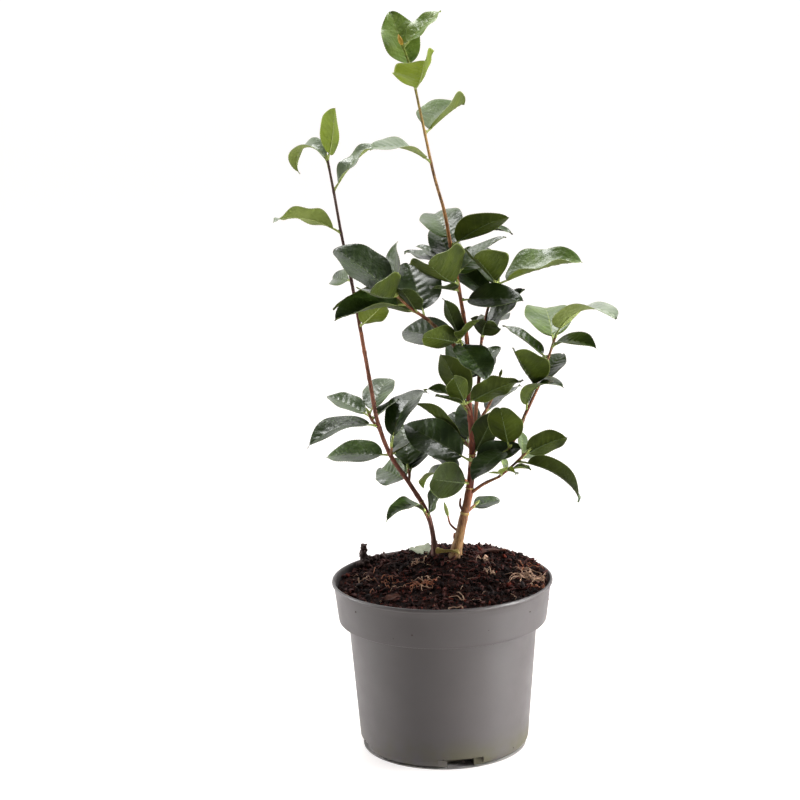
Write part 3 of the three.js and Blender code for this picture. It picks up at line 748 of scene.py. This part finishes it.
# %% Leaf shape
# kind: width as a share of length, fold at the midrib in degrees, and how drawn-out the tip is
LEAF_KINDS = {
    "round": (0.78, 14, 0.1), "broad": (0.66, 13, 0.35), "oval": (0.56, 15, 0.55),
    "lance": (0.46, 18, 0.9), "slim": (0.38, 24, 1.0), "dish": (0.76, 27, 0.2),
    "cup": (0.84, 40, 0.1), "boat": (0.64, 42, 0.5),
}
PETIOLE = 0.12  # the leaf stalk's share of the length
PETIOLE_RADIUS = 0.85
LEAF_SKIN = 0.42  # thickness
LEAF_ROWS = 60
STEPS = 161  # points on the line that a leaf bends along
ACROSS = np.array([0.08, 0.22, 0.4, 0.58, 0.77, 0.93])
ACROSS = np.concatenate([[-1], -ACROSS[::-1], [0], ACROSS, [1]])
VEIN_PAIRS, VEIN_SWEEP, VEIN_SHIFT = 8, 1.7, 0.25
VEIN_DEPTH, VEIN_WIDTH, RIB_DEPTH, RIB_WIDTH, TOOTH = 0.55, 0.17, 0.22, 0.9, 0.35
WAVES, WAVE_HEIGHT, TWIST = (1.3, 2.4), 0.024, 7  # of the margin, as a share of length, in degrees
TIP_HOOK = 28  # degrees that the tip bends further back
print("leaf kinds:", ", ".join(LEAF_KINDS))


# %% The faces of a leaf
def leaf_topology():
    """Faces of one leaf, and where each lies on the blade: upper side with rims, lower side, ends."""
    wide = len(ACROSS)
    ring = 2 * wide
    faces, _ = grid(LEAF_ROWS, ring, closed=True)
    faces = faces.reshape(LEAF_ROWS - 1, ring, 4)
    upper_u, lower_u = 0.5 + 0.49 * ACROSS, 0.5 + 0.5 * ACROSS
    around = np.concatenate([upper_u, lower_u[::-1]])
    after = np.roll(around, -1)
    v = np.linspace(0, 1, LEAF_ROWS)

    def patch(columns):
        quads = faces[:, columns].reshape(-1, 4)
        u = np.stack([around[columns], after[columns], after[columns], around[columns]], -1)
        places = np.zeros((LEAF_ROWS - 1, len(columns), 4, 2))
        places[..., 0] = u[None]
        places[..., 1] = np.stack([v[:-1], v[:-1], v[1:], v[1:]], -1)[:, None]
        return quads, places

    upper = patch(np.concatenate([[ring - 1], np.arange(wide)]))
    lower = patch(np.arange(wide, ring - 1))
    base = (np.arange(ring)[None, ::-1], np.full((ring, 2), 0.5))
    tip = (np.arange(ring)[None] + (LEAF_ROWS - 1) * ring, np.full((ring, 2), 0.5))
    return upper, lower, base, tip


LEAF_PATCHES = leaf_topology()
LEAF_FACES = [face for faces, _ in LEAF_PATCHES for face in faces.tolist()]
print("leaf:", len(LEAF_FACES), "faces")


# %% The form of a leaf
def half_outline(t, point):
    """Half the blade's width by its share of length, 1 at its widest. A point of 0 is a blunt tip."""
    body = np.clip(t / (1 - 0.04 * point), 0, 1)
    tipward = np.maximum(0, (body - 0.7) / 0.3)
    oval = np.sin(math.pi * body**0.84) ** (0.56 + 0.14 * point) * (1 - 0.5 * point * tipward**2)
    return np.maximum(oval, 0.09 * point * np.clip((1 - t) / 0.12, 0, 1) ** 0.8)


def leaf(foot, heading, rise, roll, length, curl, kind, rng):
    """One blade's points in metres, and the middle line of its stalk and midrib."""
    width, fold, point = LEAF_KINDS[kind]
    aim, level = direction(heading, rise), direction(heading - 90, 0)
    lift = np.cross(level, aim)
    turn = math.radians(roll)
    side = level * math.cos(turn) - lift * math.sin(turn)
    face = lift * math.cos(turn) + level * math.sin(turn)

    t = np.linspace(0, 1, STEPS)
    lean = math.radians(curl) * (0.5 - t) - math.radians(TIP_HOOK) * smooth(0.86, 1.05, t)
    sway = rng.normal(0, 0.035) * length * t**2
    step = length / (STEPS - 1)
    ahead = np.concatenate([[0], np.cumsum(np.cos((lean[1:] + lean[:-1]) / 2))]) * step
    above = np.concatenate([[0], np.cumsum(np.sin((lean[1:] + lean[:-1]) / 2))]) * step

    even = np.linspace(0, 1, LEAF_ROWS)
    blade = 0.72 * even + 0.28 * (0.5 - 0.5 * np.cos(math.pi * even))
    at = PETIOLE + (1 - PETIOLE) * blade
    here = lambda values: np.interp(at, t, values)[:, None]
    s = ACROSS[None]
    half = np.maximum(width * length * (1 - PETIOLE) / 2 * half_outline(blade, point), 0.35)[:, None]

    # across the blade: a smooth fold, margins that bend back, waves, and skin swelling between veins
    bend = 0.12 + fold / 110
    valley = (np.sqrt(s**2 + bend**2) - bend) / (math.sqrt(1 + bend**2) - bend)
    raised = half * math.sin(math.radians(fold)) * (valley - 0.22 * s**4 + 0.12 * s**2)
    spread = half * s * math.cos(math.radians(fold)) * (1 - 0.03 * s**2)
    waves, shift = rng.uniform(*WAVES), rng.random(2)
    phase = 2 * math.pi * (waves * blade[:, None] + np.where(s < 0, shift[0], shift[1]))
    raised = raised + WAVE_HEIGHT * length * rng.uniform(0.4, 1.3) * np.abs(s) ** 1.6 * np.sin(phase)
    vein = VEIN_PAIRS * blade[:, None] - VEIN_SWEEP * np.abs(s) + VEIN_SHIFT * s
    off = np.abs(vein - np.round(vein))
    quilt = np.exp(-((off / VEIN_WIDTH) ** 2)) * (1 - np.abs(s) ** 2) * np.minimum(1, half / 8)
    raised = raised - VEIN_DEPTH * quilt - RIB_DEPTH * np.exp(-((s * half / RIB_WIDTH) ** 2))
    twist = math.radians(rng.normal(0, TWIST)) * (blade[:, None] - 0.3)
    spread, raised = (spread * np.cos(twist) - raised * np.sin(twist),
                      raised * np.cos(twist) + spread * np.sin(twist))

    # the teeth: every second row of the margin stands out a little and leans to the tip
    toothed = smooth(0.1, 0.25, blade) * (1 - smooth(0.9, 0.97, blade))
    teeth = (np.arange(LEAF_ROWS) % 2 * toothed)[:, None] * TOOTH * (np.abs(s) == 1)
    spread = spread + teeth * np.sign(s)

    lean_here = here(lean)
    up = face * np.cos(lean_here) - aim * np.sin(lean_here)
    on = aim * np.cos(lean_here) + face * np.sin(lean_here)
    middle = foot / MM + aim * here(ahead) + face * here(above) + side * here(sway)
    flat = middle[:, None] + side * spread[..., None] + on[:, None] * (0.5 * teeth[..., None])
    thick = (LEAF_SKIN / 2 * (1 - 0.35 * np.abs(s) ** 3) * np.minimum(1, half / 2))[..., None]
    upper = flat + up[:, None] * (raised[..., None] + thick)
    lower = flat + up[:, None] * (raised[..., None] - thick)
    points = np.concatenate([upper, lower[:, ::-1]], 1).reshape(-1, 3) * MM

    below = 0.15 + 0.5 * (smooth(PETIOLE * 0.8, PETIOLE * 1.3, t) * np.linspace(1, 0.5, STEPS))[:, None]
    falls = face * np.cos(lean[:, None]) - aim * np.sin(lean[:, None])
    line = foot / MM + np.outer(ahead, aim) + np.outer(above, face) + np.outer(sway, side) - falls * below
    return points, line[:STEPS - 11:5] * MM  # the rib ends a little short of the tip


trial, _ = leaf(np.zeros(3), 0, 0, 0, 60, 0, "oval", np.random.default_rng(1))
print("a 60 mm oval leaf is", (np.ptp(trial, axis=0)[1] / MM).round(1), "mm wide")

# %% [markdown]
# ### Leaf finishes
#
# The upper skin has a wax layer, so it is smooth and throws back the light as a soft pale sheen. The
# lower skin has none. Leaves age from yellow-green to blackish green, and four tones follow that. The
# fifth, pale, is partly the leaf's own light green and partly painted sheen: its upper side is greyed
# and lightened like a leaf that catches strong light. Each leaf is given one tone. The veins and margin
# are paler lines, drawn from the leaf's own map by the same rule as the veins in the mesh.

# %% Leaf skins
# tone: upper side in two shades, lower side in two shades, veins, and roughness above
TONES = {
    "deep": ("#16250a", "#2b3e11", "#1e2804", "#2e3a09", "#71814b", 0.34),
    "mid": ("#25390f", "#3e5519", "#2c3708", "#404c0e", "#889455", 0.34),
    "fresh": ("#415920", "#5c722d", "#4d5c16", "#647123", "#a7b36e", 0.34),
    # pale: the upper shades are partly the leaf's own light green and partly a painted silvery sheen; the
    # lower shades are its own colour
    "pale": ("#67775a", "#8a967c", "#6a7834", "#84924c", "#b9c394", 0.34),
    "young": ("#5f792c", "#788e3c", "#637414", "#7c8e22", "#b9c47c", 0.36),
}


def leaf_skin(name, dark, light, lines, roughness, veins=0.3, rib=0.6, wax=0.0, skin_ior=1.25):
    material, add = finish(name, {"IOR": skin_ior, "Roughness": roughness, "Coat Weight": wax,
                                  "Coat Roughness": 0.2, "Coat IOR": 1.5})
    spot = add("SeparateXYZ", {"Vector": add("UVMap", {}, uv_map=SURFACE_MAP)[0]})
    sideways = add("Math", {0: spot[0], 1: 2.0, 2: -1.0}, operation="MULTIPLY_ADD")
    off = add("Math", {0: sideways[0]}, operation="ABSOLUTE")
    swept = add("Math", {0: off[0], 1: -VEIN_SWEEP}, operation="MULTIPLY")
    risen = add("Math", {0: spot[1], 1: float(VEIN_PAIRS), 2: swept[0]}, operation="MULTIPLY_ADD")
    shifted = add("Math", {0: sideways[0], 1: VEIN_SHIFT, 2: risen[0]}, operation="MULTIPLY_ADD")
    beside = add("Math", {0: shifted[0], 1: 0.5}, operation="PINGPONG")
    vein = add("MapRange", {"Value": beside[0], 1: 0.08, 2: 0.0, 4: veins})
    fade = add("MapRange", {"Value": off[0], 1: 0.9, 2: 0.3})
    faint = add("Math", {0: vein[0], 1: fade[0]}, operation="MULTIPLY")
    thin = add("MapRange", {"Value": off[0], 1: 0.03, 2: 0.006})
    along = add("MapRange", {"Value": spot[1], 3: rib, 4: 0.2 * rib})
    midrib = add("Math", {0: thin[0], 1: along[0]}, operation="MULTIPLY")
    margin = add("MapRange", {"Value": off[0], 1: 0.955, 2: 0.985, 4: 0.55})
    both = add("Math", {0: midrib[0], 1: margin[0]}, operation="MAXIMUM")
    drawn = add("Math", {0: both[0], 1: faint[0]}, operation="MAXIMUM")
    place = add("TexCoord", {})["Object"]
    cloud = add("TexNoise", {"Vector": place, "Scale": 45.0, "Detail": 4.0})
    mottle = add("MapRange", {"Value": cloud[0], 1: 0.35, 2: 0.65})
    green = add("Mix", {FACTOR: mottle[0], FIRST: linear(dark), SECOND: linear(light)},
                data_type="RGBA")
    coloured = add("Mix", {FACTOR: drawn[0], FIRST: green[MIXED], SECOND: linear(lines)},
                   data_type="RGBA")
    dull = add("MapRange", {"Value": cloud[0], 1: 0.3, 2: 0.7, 3: roughness - 0.06, 4: roughness + 0.08})
    skin = add("TexNoise", {"Vector": place, "Scale": 230.0, "Detail": 5.0})
    return wear(material, add, coloured[MIXED], dull[0], skin[0], 0.0009)


# how strongly the veins and the midrib are drawn, the wax, and the skin's IOR
ABOVE = {"veins": 0.12, "rib": 0.55, "wax": 0.22, "skin_ior": 1.42}
BELOW = {"veins": 0.08, "rib": 0.32, "skin_ior": 1.25}
leaf_finish = {}
for tone, (dark, light, dull_dark, dull_light, lines, gloss) in TONES.items():
    leaf_finish[tone] = (leaf_skin(f"{tone}_leaf_above", dark, light, lines, gloss, **ABOVE),
                         leaf_skin(f"{tone}_leaf_below", dull_dark, dull_light, lines, 0.6, **BELOW))
print("leaf finishes:", ", ".join(leaf_finish))

# %% [markdown]
# ### Leafy shoots
#
# Each shoot has a short stem and its leaves. A leaf is a row: its place along the stem, heading,
# rise, roll, length, curl, kind and tone. A leaf that would pass through another turns a few degrees
# until it is clear of it, as leaves do on the plant. `more` fills the side that a shoot's rows leave
# bare, with leaves that fan out round the heading `side`.

# %% Shoots
SHOOTS = {}


def shoot(name, path, leaves, radius=(1.3, 1.04), bark="young", more=0, side=90):
    """Notes a shoot down, in the order in which the shoots are grown."""
    SHOOTS[name] = (path, leaves, radius, bark, more, side)


shoot("top_leaves", [(12, 24, 430), (7, 23, 460), (-1, 21, 490), (-10, 19, 535), (-20, 17, 583),
                     (-26, 16, 600)], [
    (0.0, 30, 6, 10, 66, 60, "lance", "mid"),
    (0.0, 322, 24, -28, 70, 30, "oval", "mid"),
    (0.02, 105, 22, -10, 56, 50, "round", "mid"),
    (0.42, 215, 14, -12, 66, 48, "oval", "pale"),
    (0.56, 58, 20, -12, 66, 10, "cup", "fresh"),
    (0.78, 276, 22, 24, 68, -20, "cup", "young"),
    (0.86, 128, 58, -22, 58, 10, "broad", "young"),
    (0.98, 22, 40, 20, 46, 20, "oval", "young"),
], radius=(1.5, 0.9), bark="leader")
shoot("left_top_leaves", [(-66, 28, 358), (-73, 25, 403), (-80, 23, 441), (-85, 22, 474),
                          (-90, 20, 505)], [
    (0.03, 305, 30, -35, 50, 0, "oval", "fresh"),
    (0.3, 115, -5, -50, 46, 20, "lance", "mid"),
    (0.58, 215, 13, 35, 72, 60, "slim", "pale"),
    (0.82, 35, 38, 0, 66, 40, "slim", "pale"),
    (0.96, 140, -12, -12, 64, 200, "slim", "pale"),
    (1, 78, 55, -110, 50, -10, "broad", "young"),
], radius=(1.6, 1), bark="dark")
shoot("left_upper_leaves", [(-53, 32, 273), (-58, 32, 279), (-61, 34, 285)], [
    (0.1, 212, -8, -12, 74, 62, "lance", "deep"),
    (0.8, 137, 12, -18, 58, 15, "lance", "mid"),
    (0.6, 40, 25, -10, 34, 10, "oval", "mid"),
], more=1, side=70)
shoot("left_middle_leaves", [(-43, 33, 248), (-42, 28, 253), (-42, 24, 258)], [
    (1, 58, 30, -5, 80, 80, "lance", "deep"),
    (0.0, 158, -6, -30, 64, 20, "oval", "mid"),
    (0.0, 50, 15, -15, 42, 0, "lance", "mid"),
])
shoot("left_low_leaves", [(-28, 35, 223), (-27, 40, 228), (-28, 44, 233)], [
    (0.6, 72, 30, -5, 52, 20, "broad", "deep"),
    (0.2, 125, 0, -40, 48, 10, "round", "mid"),
], more=1, side=95)
shoot("left_foot_leaves", [(-10, 37, 189), (-13, 33, 194), (-14, 29, 198)], [
    (0.8, 225, 5, -15, 58, 90, "slim", "mid"),
    (0.3, 330, 62, 60, 44, 10, "lance", "mid"),
])
shoot("left_shoot_leaves", [(-8, 15, 369), (-25, -1, 384), (-34, -17, 395)], [
    (0.1, 105, 40, -5, 64, 20, "round", "deep"),
    (0.3, 250, 35, -10, 46, 10, "oval", "deep"),
    (0.15, 210, 2, 40, 84, 60, "lance", "mid"),
    (0.62, 193, -14, -26, 66, 30, "boat", "mid"),
    (0.95, 90, 40, -60, 60, 20, "oval", "mid"),
    (1, 145, 50, -30, 66, 15, "round", "deep"),
    (1, 262, 18, 22, 66, -20, "cup", "mid"),
], radius=(1.4, 1))
shoot("upper_right_leaves", [(37, 37, 345), (42, 36, 371), (48, 35, 389), (51, 35, 396)], [
    (0.1, 270, 30, -25, 42, 10, "round", "deep"),
    (0.23, 60, 10, 0, 44, 10, "broad", "deep"),
    (0.08, 330, 42, 40, 58, 20, "oval", "deep"),
    (0.62, 130, 30, 20, 52, 15, "broad", "deep"),
    (0.75, 150, 20, -20, 50, 10, "broad", "deep"),
    (0.98, 10, 14, 8, 78, 22, "dish", "fresh"),
    (1, 248, 30, 2, 62, 10, "cup", "mid"),
], radius=(1.3, 1), more=1, side=100)
shoot("right_shoot_leaves", [(74, 36, 281), (86, 39, 306), (95, 43, 330), (101, 45, 347)], [
    (0.05, 312, 32, 12, 58, 110, "oval", "mid"),
    (0.36, 243, 42, -12, 60, -10, "cup", "mid"),
    (0.4, 60, 25, 10, 50, 20, "oval", "deep"),
    (0.73, 135, 24, 5, 60, 10, "slim", "mid"),
    (0.88, 310, 5, 20, 58, 60, "lance", "mid"),
    (0.94, 95, 20, 0, 66, 40, "round", "fresh"),
    (1, 320, 20, -4, 76, 100, "broad", "pale"),
], radius=(1.4, 1))
shoot("right_fork_leaves", [(55, 31, 249), (58, 26, 252), (60, 21, 256)], [
    (0.7, 230, -20, -5, 54, 30, "oval", "deep"),
    (0.9, 248, 58, 5, 48, 10, "round", "mid"),
])
shoot("low_right_leaves", [(50, 20, 230), (65, 14, 244), (74, 10, 254)], [
    (0.1, 250, 25, 15, 36, 10, "oval", "young"),
    (0.25, 105, 20, 35, 30, 20, "lance", "young"),
    (0.3, 285, 5, -45, 28, 20, "slim", "young"),
    (0.35, 305, 10, 5, 32, 20, "slim", "young"),
    (0.65, 310, -15, -60, 84, 60, "slim", "mid"),
    (0.75, 55, -5, 15, 38, 10, "lance", "fresh"),
    (0.85, 90, 30, 40, 34, 10, "lance", "fresh"),
    (0.85, 345, 26, -60, 44, 30, "broad", "mid"),
], radius=(1.2, 0.9))
shoot("right_middle_leaves", [(27, 28, 268), (38, 36, 282), (48, 40, 300), (53, 42, 315)], [
    (0.35, 55, 15, -15, 64, 10, "lance", "deep"),
    (0.7, 305, 25, -15, 44, 20, "lance", "mid"),
])
shoot("foot_leaves", [(20, 29, 194), (26, 33, 199), (30, 36, 202)], [
    (0.6, 40, 5, 25, 34, 15, "oval", "deep"),
])
shoot("low_left_leaves", [(26, 29, 222), (20, 24, 228), (16, 20, 233)], [
    (0.1, 234, 14, 80, 60, 0, "broad", "deep"),
    (0.85, 135, -25, -20, 62, 90, "slim", "fresh"),
    (1, 125, 5, 0, 46, 10, "oval", "deep"),
])
shoot("low_front_leaves", [(27, 28, 236), (26, 21, 241), (26, 16, 246)], [
    (0.95, 130, 10, -40, 78, 15, "oval", "deep"),
    (1, 350, 26, 40, 48, 20, "oval", "deep"),
])
shoot("low_back_leaves", [(28, 28, 246), (26, 35, 253), (22, 41, 257)], [
    (0.6, 140, 10, 0, 70, 15, "lance", "mid"),
    (0.8, 110, 25, -5, 42, 10, "broad", "deep"),
    (1, 130, 20, 50, 60, 15, "lance", "mid"),
    (0.0, 340, 62, -60, 50, 10, "oval", "deep"),
], more=2, side=70)
shoot("middle_front_leaves", [(26, 27, 283), (25, 20, 290), (22, 14, 296)], [
    (0.0, 190, 30, -20, 50, 80, "slim", "fresh"),
    (1, 345, 25, -55, 52, 20, "oval", "mid"),
    (1, 200, 62, 50, 48, 10, "round", "mid"),
    (1, 215, 20, 0, 34, 10, "oval", "deep"),
    (1, 275, 60, 40, 42, 10, "oval", "mid"),
])
shoot("middle_back_leaves", [(25, 27, 300), (23, 34, 307), (20, 39, 314)], [
    (0.8, 60, 20, 10, 50, 20, "round", "deep"),
], more=2, side=78)
shoot("upper_middle_leaves", [(25, 26, 339), (22, 18, 345), (17, 15, 351)], [
    (0.7, 245, 55, -5, 56, 0, "slim", "deep"),
    (0.8, 230, 15, 55, 52, 10, "oval", "mid"),
    (1, 137, 0, -35, 70, 10, "oval", "deep"),
    (1, 275, 45, 20, 52, 10, "oval", "mid"),
    (1, 300, -30, 0, 52, 10, "round", "deep"),
])
shoot("crown_front_leaves", [(20, 25, 384), (18, 19, 392), (17, 13, 400)], [
    (0.6, 235, 10, 10, 40, 10, "broad", "deep"),
    (1, 262, 26, 22, 84, -14, "cup", "mid"),
    (0.0, 340, 2, 32, 56, 20, "broad", "deep"),
])
shoot("crown_back_leaves", [(19, 25, 393), (17, 32, 402), (14, 38, 409)], [
    (0.7, 55, 15, 30, 44, 10, "broad", "mid"),
    (1, 135, 10, -10, 62, 20, "lance", "deep"),
], more=3, side=85)

print(len(SHOOTS), "shoots with", sum(len(leaves) for _, leaves, *_ in SHOOTS.values()), "leaves listed")

# %% Leaves for a bare side
FILLING = {"fan": 100, "at": (0.6, 1), "rise": (5, 40), "roll": (-10, 10), "length": (46, 60), "curl": 25}


def seeded(n):
    """The source's own random rule, so that the same leaves fill the same places."""
    return (math.sin(n * 12.9898) * 43758.5453) % 1


def more_leaves(more, side, seed):
    rows = []
    for i in range(more):
        pick = lambda span, n: span[0] + (span[1] - span[0]) * seeded(seed * 17 + i * 3 + n)
        heading = side + ((i + 0.5) / more - 0.5) * FILLING["fan"]
        rows.append((pick(FILLING["at"], 1), heading, pick(FILLING["rise"], 2), pick(FILLING["roll"], 3),
                     pick(FILLING["length"], 4), FILLING["curl"], "oval", "deep" if i % 2 else "mid"))
    return rows


# %% Room for each leaf
# turns and lifts in degrees, tried in this order
SWINGS = [(0, 0), (7, 0), (-7, 0), (0, 7), (0, -7), (12, 7), (-12, 7), (12, -7), (-12, -7),
          (20, 0), (-20, 0), (0, 16), (0, -16), (24, 14), (-24, 14), (24, -14), (-24, -14)]


class Crown:
    """Remembers the leaves that are placed, to keep new ones clear of them."""

    def __init__(self):
        self.placed = []

    def hits(self, tree, low, high):
        return sum(len(tree.overlap(other)) for other, a, b in self.placed
                   if np.all(low < b) and np.all(high > a))

    def grow(self, foot, row, rng_seed):
        """The least crossing of a leaf's turned versions."""
        best = None
        for turn, lift in SWINGS:
            rng = np.random.default_rng(rng_seed)
            points, line = leaf(foot, row[0] + turn, row[1] + lift, *row[2:6], rng)
            tree = BVHTree.FromPolygons(points.tolist(), LEAF_FACES)
            low, high = points.min(0), points.max(0)
            count = self.hits(tree, low, high)
            if best is None or count < best[0]:
                best = (count, points, line, tree, low, high)
            if count == 0:
                break
        self.placed.append(best[3:])
        return best[:3]


# %% Buds, stalks and ribs
opening_bud = rough_bit("opening_bud", "#c39a38", 0.5)
dark_midrib = rough_bit("dark_midrib", "#47562a", 0.5)
GREEN_STALK, OPENING_BUD, DARK_MIDRIB = 1, 2, 3  # their places among a shoot's finishes, after its bark
PALE_RIBBED = ("fresh", "pale", "young")
SIDE_BUD, END_BUD, TOP_BUD = (3.2, 0.9), (7, 1.3), (9, 1.9, OPENING_BUD)  # length, radius, finish
LOWER_SIDE = 1  # its place in LEAF_PATCHES


def stalk_and_rib(twigs, middle, rib_finish):
    """A leaf's green stalk, and the rib that runs on from it under the blade."""
    radii = np.interp(np.linspace(0, 1, len(middle)), [0, 0.04, 0.12, 0.2, 1],
                      [1.25, 0.95, PETIOLE_RADIUS, 0.62, 0.2]) * MM
    end = round(0.18 * len(middle))
    for part, skin in ((slice(0, end + 1), GREEN_STALK), (slice(end, None), rib_finish)):
        twigs.tube(rings_round(Path(middle[part] / MM), radii[part], 8), skin)


# %% Grow the leaves
crown = Crown()
crossing = 0
for seed, (name, (path, leaves, radius, bark_kind, more, side)) in enumerate(SHOOTS.items(), 1):
    line = Path(path)
    rings = max(8, round(line.length / (1.1 * MM)))
    rows = leaves + more_leaves(more, side, seed)
    nodes = [row[0] * line.length for row in rows]
    twigs, blades, tones = Batch(), Batch(), []
    size = np.linspace(*radius, rings) * MM
    twigs.tube(rings_round(line, size, 14, bark_relief(radius[1] * MM, nodes, 50 + seed)))
    for k, (at, *row, tone) in enumerate(rows):
        foot = line.at(at)
        count, points, middle = crown.grow(foot, row, 1000 * seed + k)
        crossing += count > 0
        if tone not in tones:
            tones.append(tone)
        above = 2 * tones.index(tone)
        blades.add(points, [(faces, above + (part == LOWER_SIDE), places)
                            for part, (faces, places) in enumerate(LEAF_PATCHES)])
        stalk_and_rib(twigs, middle, GREEN_STALK if tone in PALE_RIBBED else DARK_MIDRIB)
        out = unit(middle[3] - middle[0])
        bud(twigs, foot + out * 1.1 * MM, unit(line.along(at) + out), *SIDE_BUD)
    end = TOP_BUD if name == "top_leaves" else END_BUD
    bud(twigs, line.at(1) - line.along(1) * MM, line.along(1), *end)
    skins = [bark[bark_kind], green_stalk, opening_bud, dark_midrib]
    twigs.make(name.replace("leaves", "twigs"), skins, "bark", name)
    made = blades.make(name + "_grown", [m for tone in tones for m in leaf_finish[tone]], "leaves", name)
    made.data.set_sharp_from_angle(angle=math.radians(50))
    print(f"{name}: {len(rows)} leaves")
print("leaves that still touch another:", crossing)

# %% [markdown]
# ## Fallen leaves
#
# A few leaves lie on the compost, curled and half turned over: two have dried to tan and grey-green.

# %% Fallen leaves
# place on the compost, heading, rise, roll, length, curl, kind, tone
FALLEN = [
    ((-26, 80), 292, 5, 12, 38, 20, "oval", "dry_grey"),
    ((-7, 33), 318, 12, -20, 32, 40, "oval", "dry_tan"),
    ((60, 52), 200, 4, 10, 30, 15, "oval", "dry_brown"),
    ((-50, -48), 40, 3, 12, 20, 20, "lance", "dry_brown"),
]
DRY = {
    "dry_grey": ("#6f7563", "#868b77", "#a5a894"),
    "dry_tan": ("#8a7c46", "#a5944f", "#c0b078"),
    "dry_brown": ("#331a12", "#472519", "#5e3826"),
}
dry_finish = {tone: leaf_skin(f"{tone}_leaf", *colours, 0.65) for tone, colours in DRY.items()}
litter = Batch()
for k, ((x, y), *row, tone) in enumerate(FALLEN):
    foot = np.array([x, y, float(bed_level(x, y)) + 1.6]) * MM
    points, _ = leaf(foot, *row, np.random.default_rng(300 + k))
    litter.add(points, [(faces, list(DRY).index(tone), places) for faces, places in LEAF_PATCHES])
made = litter.make("fallen_leaves", list(dry_finish.values()), "compost", "compost")
made.data.set_sharp_from_angle(angle=math.radians(50))
print("fallen leaves:", len(FALLEN))

# %% [markdown]
# ## Studio
#
# The plant stands on a plain pale floor that runs on as far as the eye sees. The light is soft: a
# bright sky all round, a broad lamp high on the right, one overhead and a weaker one on the left. Two
# low cards of light show up the pot's sides. The camera stands level with the top leaves and looks
# down a little through a long lens, which keeps near and far leaves true to each other in size.

# %% Floor
# White paper scatters evenly. Its glow is painted light that stands for the studio's bounce light, so the
# part of it that the pot covers has none and shows as painted shade under the pot.
FLOOR_RINGS = (0.071, 0.3, 1, 3, 10, 30, 60)
turn = np.arange(96) * 2 * math.pi / 96
rings = [np.stack([r * np.cos(turn), r * np.sin(turn), np.full(96, -0.0002)], -1) for r in FLOOR_RINGS]
mesh = bpy.data.meshes.new("floor")
faces, _ = grid(len(rings), 96, closed=True)
mesh.from_pydata(np.vstack(rings).tolist(), [], faces.tolist() + [list(range(96))])
mesh.polygons.foreach_set("material_index", [0] * len(faces) + [1])
floor = bpy.data.objects.new("floor", mesh)
bpy.context.scene.collection.objects.link(floor)
paper = {"IOR": 1.45, "Roughness": 0.9, "Base Color": linear("#b6b2b0"),
         "Emission Color": linear("#fffcfb")}
for name, glow in (("white_paper_painted_glow", 0.68), ("paper_in_painted_shade", 0.0)):
    mesh.materials.append(finish(name, {**paper, "Emission Strength": glow})[0])
print("floor, metres across:", 2 * FLOOR_RINGS[-1])

# %% Light
BRIGHT_SIDE = unit(np.array([0.4, 0.85, 0.25])).tolist()  # the white wall behind and the open side
SKY_LEVELS = (0.1, 1.6)  # away from it, and toward it

world = bpy.data.worlds.new("studio")
bpy.context.scene.world = world
world.use_nodes = True
sky = world.node_tree.nodes["Background"]
add = partial(node, world.node_tree)
seen = add("LightPath", {})["Is Camera Ray"]
look = add("TexCoord", {})["Generated"]
toward = add("VectorMath", {0: look, 1: BRIGHT_SIDE}, operation="DOT_PRODUCT")
shade = add("MapRange", {"Value": toward["Value"], 1: 0.0, 2: 0.75, 3: SKY_LEVELS[0], 4: SKY_LEVELS[1]},
            interpolation_type="SMOOTHSTEP")
level = add("Mix", {0: seen, 2: shade[0], 3: 1.1})
world.node_tree.links.new(level[0], sky.inputs["Strength"])
sky.inputs["Color"].default_value = linear("#fdfbfb")


def soft_lamp(name, place, aim, size, power, spread=180):
    lamp = bpy.data.lights.new(name, "AREA")
    lamp.shape = "DISK"
    lamp.size = size
    lamp.energy = power
    lamp.spread = math.radians(spread)
    made = bpy.data.objects.new(name, lamp)
    made.location = place
    made.rotation_euler = (Vector(aim) - Vector(place)).to_track_quat("-Z", "Y").to_euler()
    bpy.context.scene.collection.objects.link(made)


soft_lamp("key", (1.9, 0.0, 1.3), (0, 0, 0.3), 0.8, 34)
soft_lamp("top", (-0.3, 0.6, 2.2), (0, 0, 0.3), 0.9, 34)
soft_lamp("left", (-1.8, 0.6, 0.9), (0, 0, 0.3), 0.9, 17)
soft_lamp("right card", (1.2, -0.39, 0.1), (0, 0, -0.05), 0.5, 3, 45)
soft_lamp("left card", (-1.2, 0.2, 0.1), (0, 0, -0.05), 0.5, 1.2, 45)
bpy.context.scene.view_settings.view_transform = "Standard"
print("lamps:", ", ".join(lamp.name for lamp in bpy.data.lights))

# %% Camera
EYE = Vector((0.0, -1.650, 0.634))
PITCH, YAW, TILT = (math.radians(a) for a in (11.33, 1.15, 1.18))
LENS = 89.46

ahead = Vector((-math.sin(YAW) * math.cos(PITCH), math.cos(YAW) * math.cos(PITCH), -math.sin(PITCH)))
level_right = Vector((math.cos(YAW), math.sin(YAW), 0))
level_up = level_right.cross(ahead)
right = level_right * math.cos(TILT) - level_up * math.sin(TILT)
above = level_right * math.sin(TILT) + level_up * math.cos(TILT)
camera_data = bpy.data.cameras.new("camera")
camera_data.lens = LENS
camera = bpy.data.objects.new("camera", camera_data)
camera.matrix_world = Matrix((right, above, -ahead)).transposed().to_4x4()
camera.location = EYE
bpy.context.scene.collection.objects.link(camera)
bpy.context.scene.camera = camera
print("camera, metres from the pot's axis:", round(math.hypot(EYE.x, EYE.y), 3))
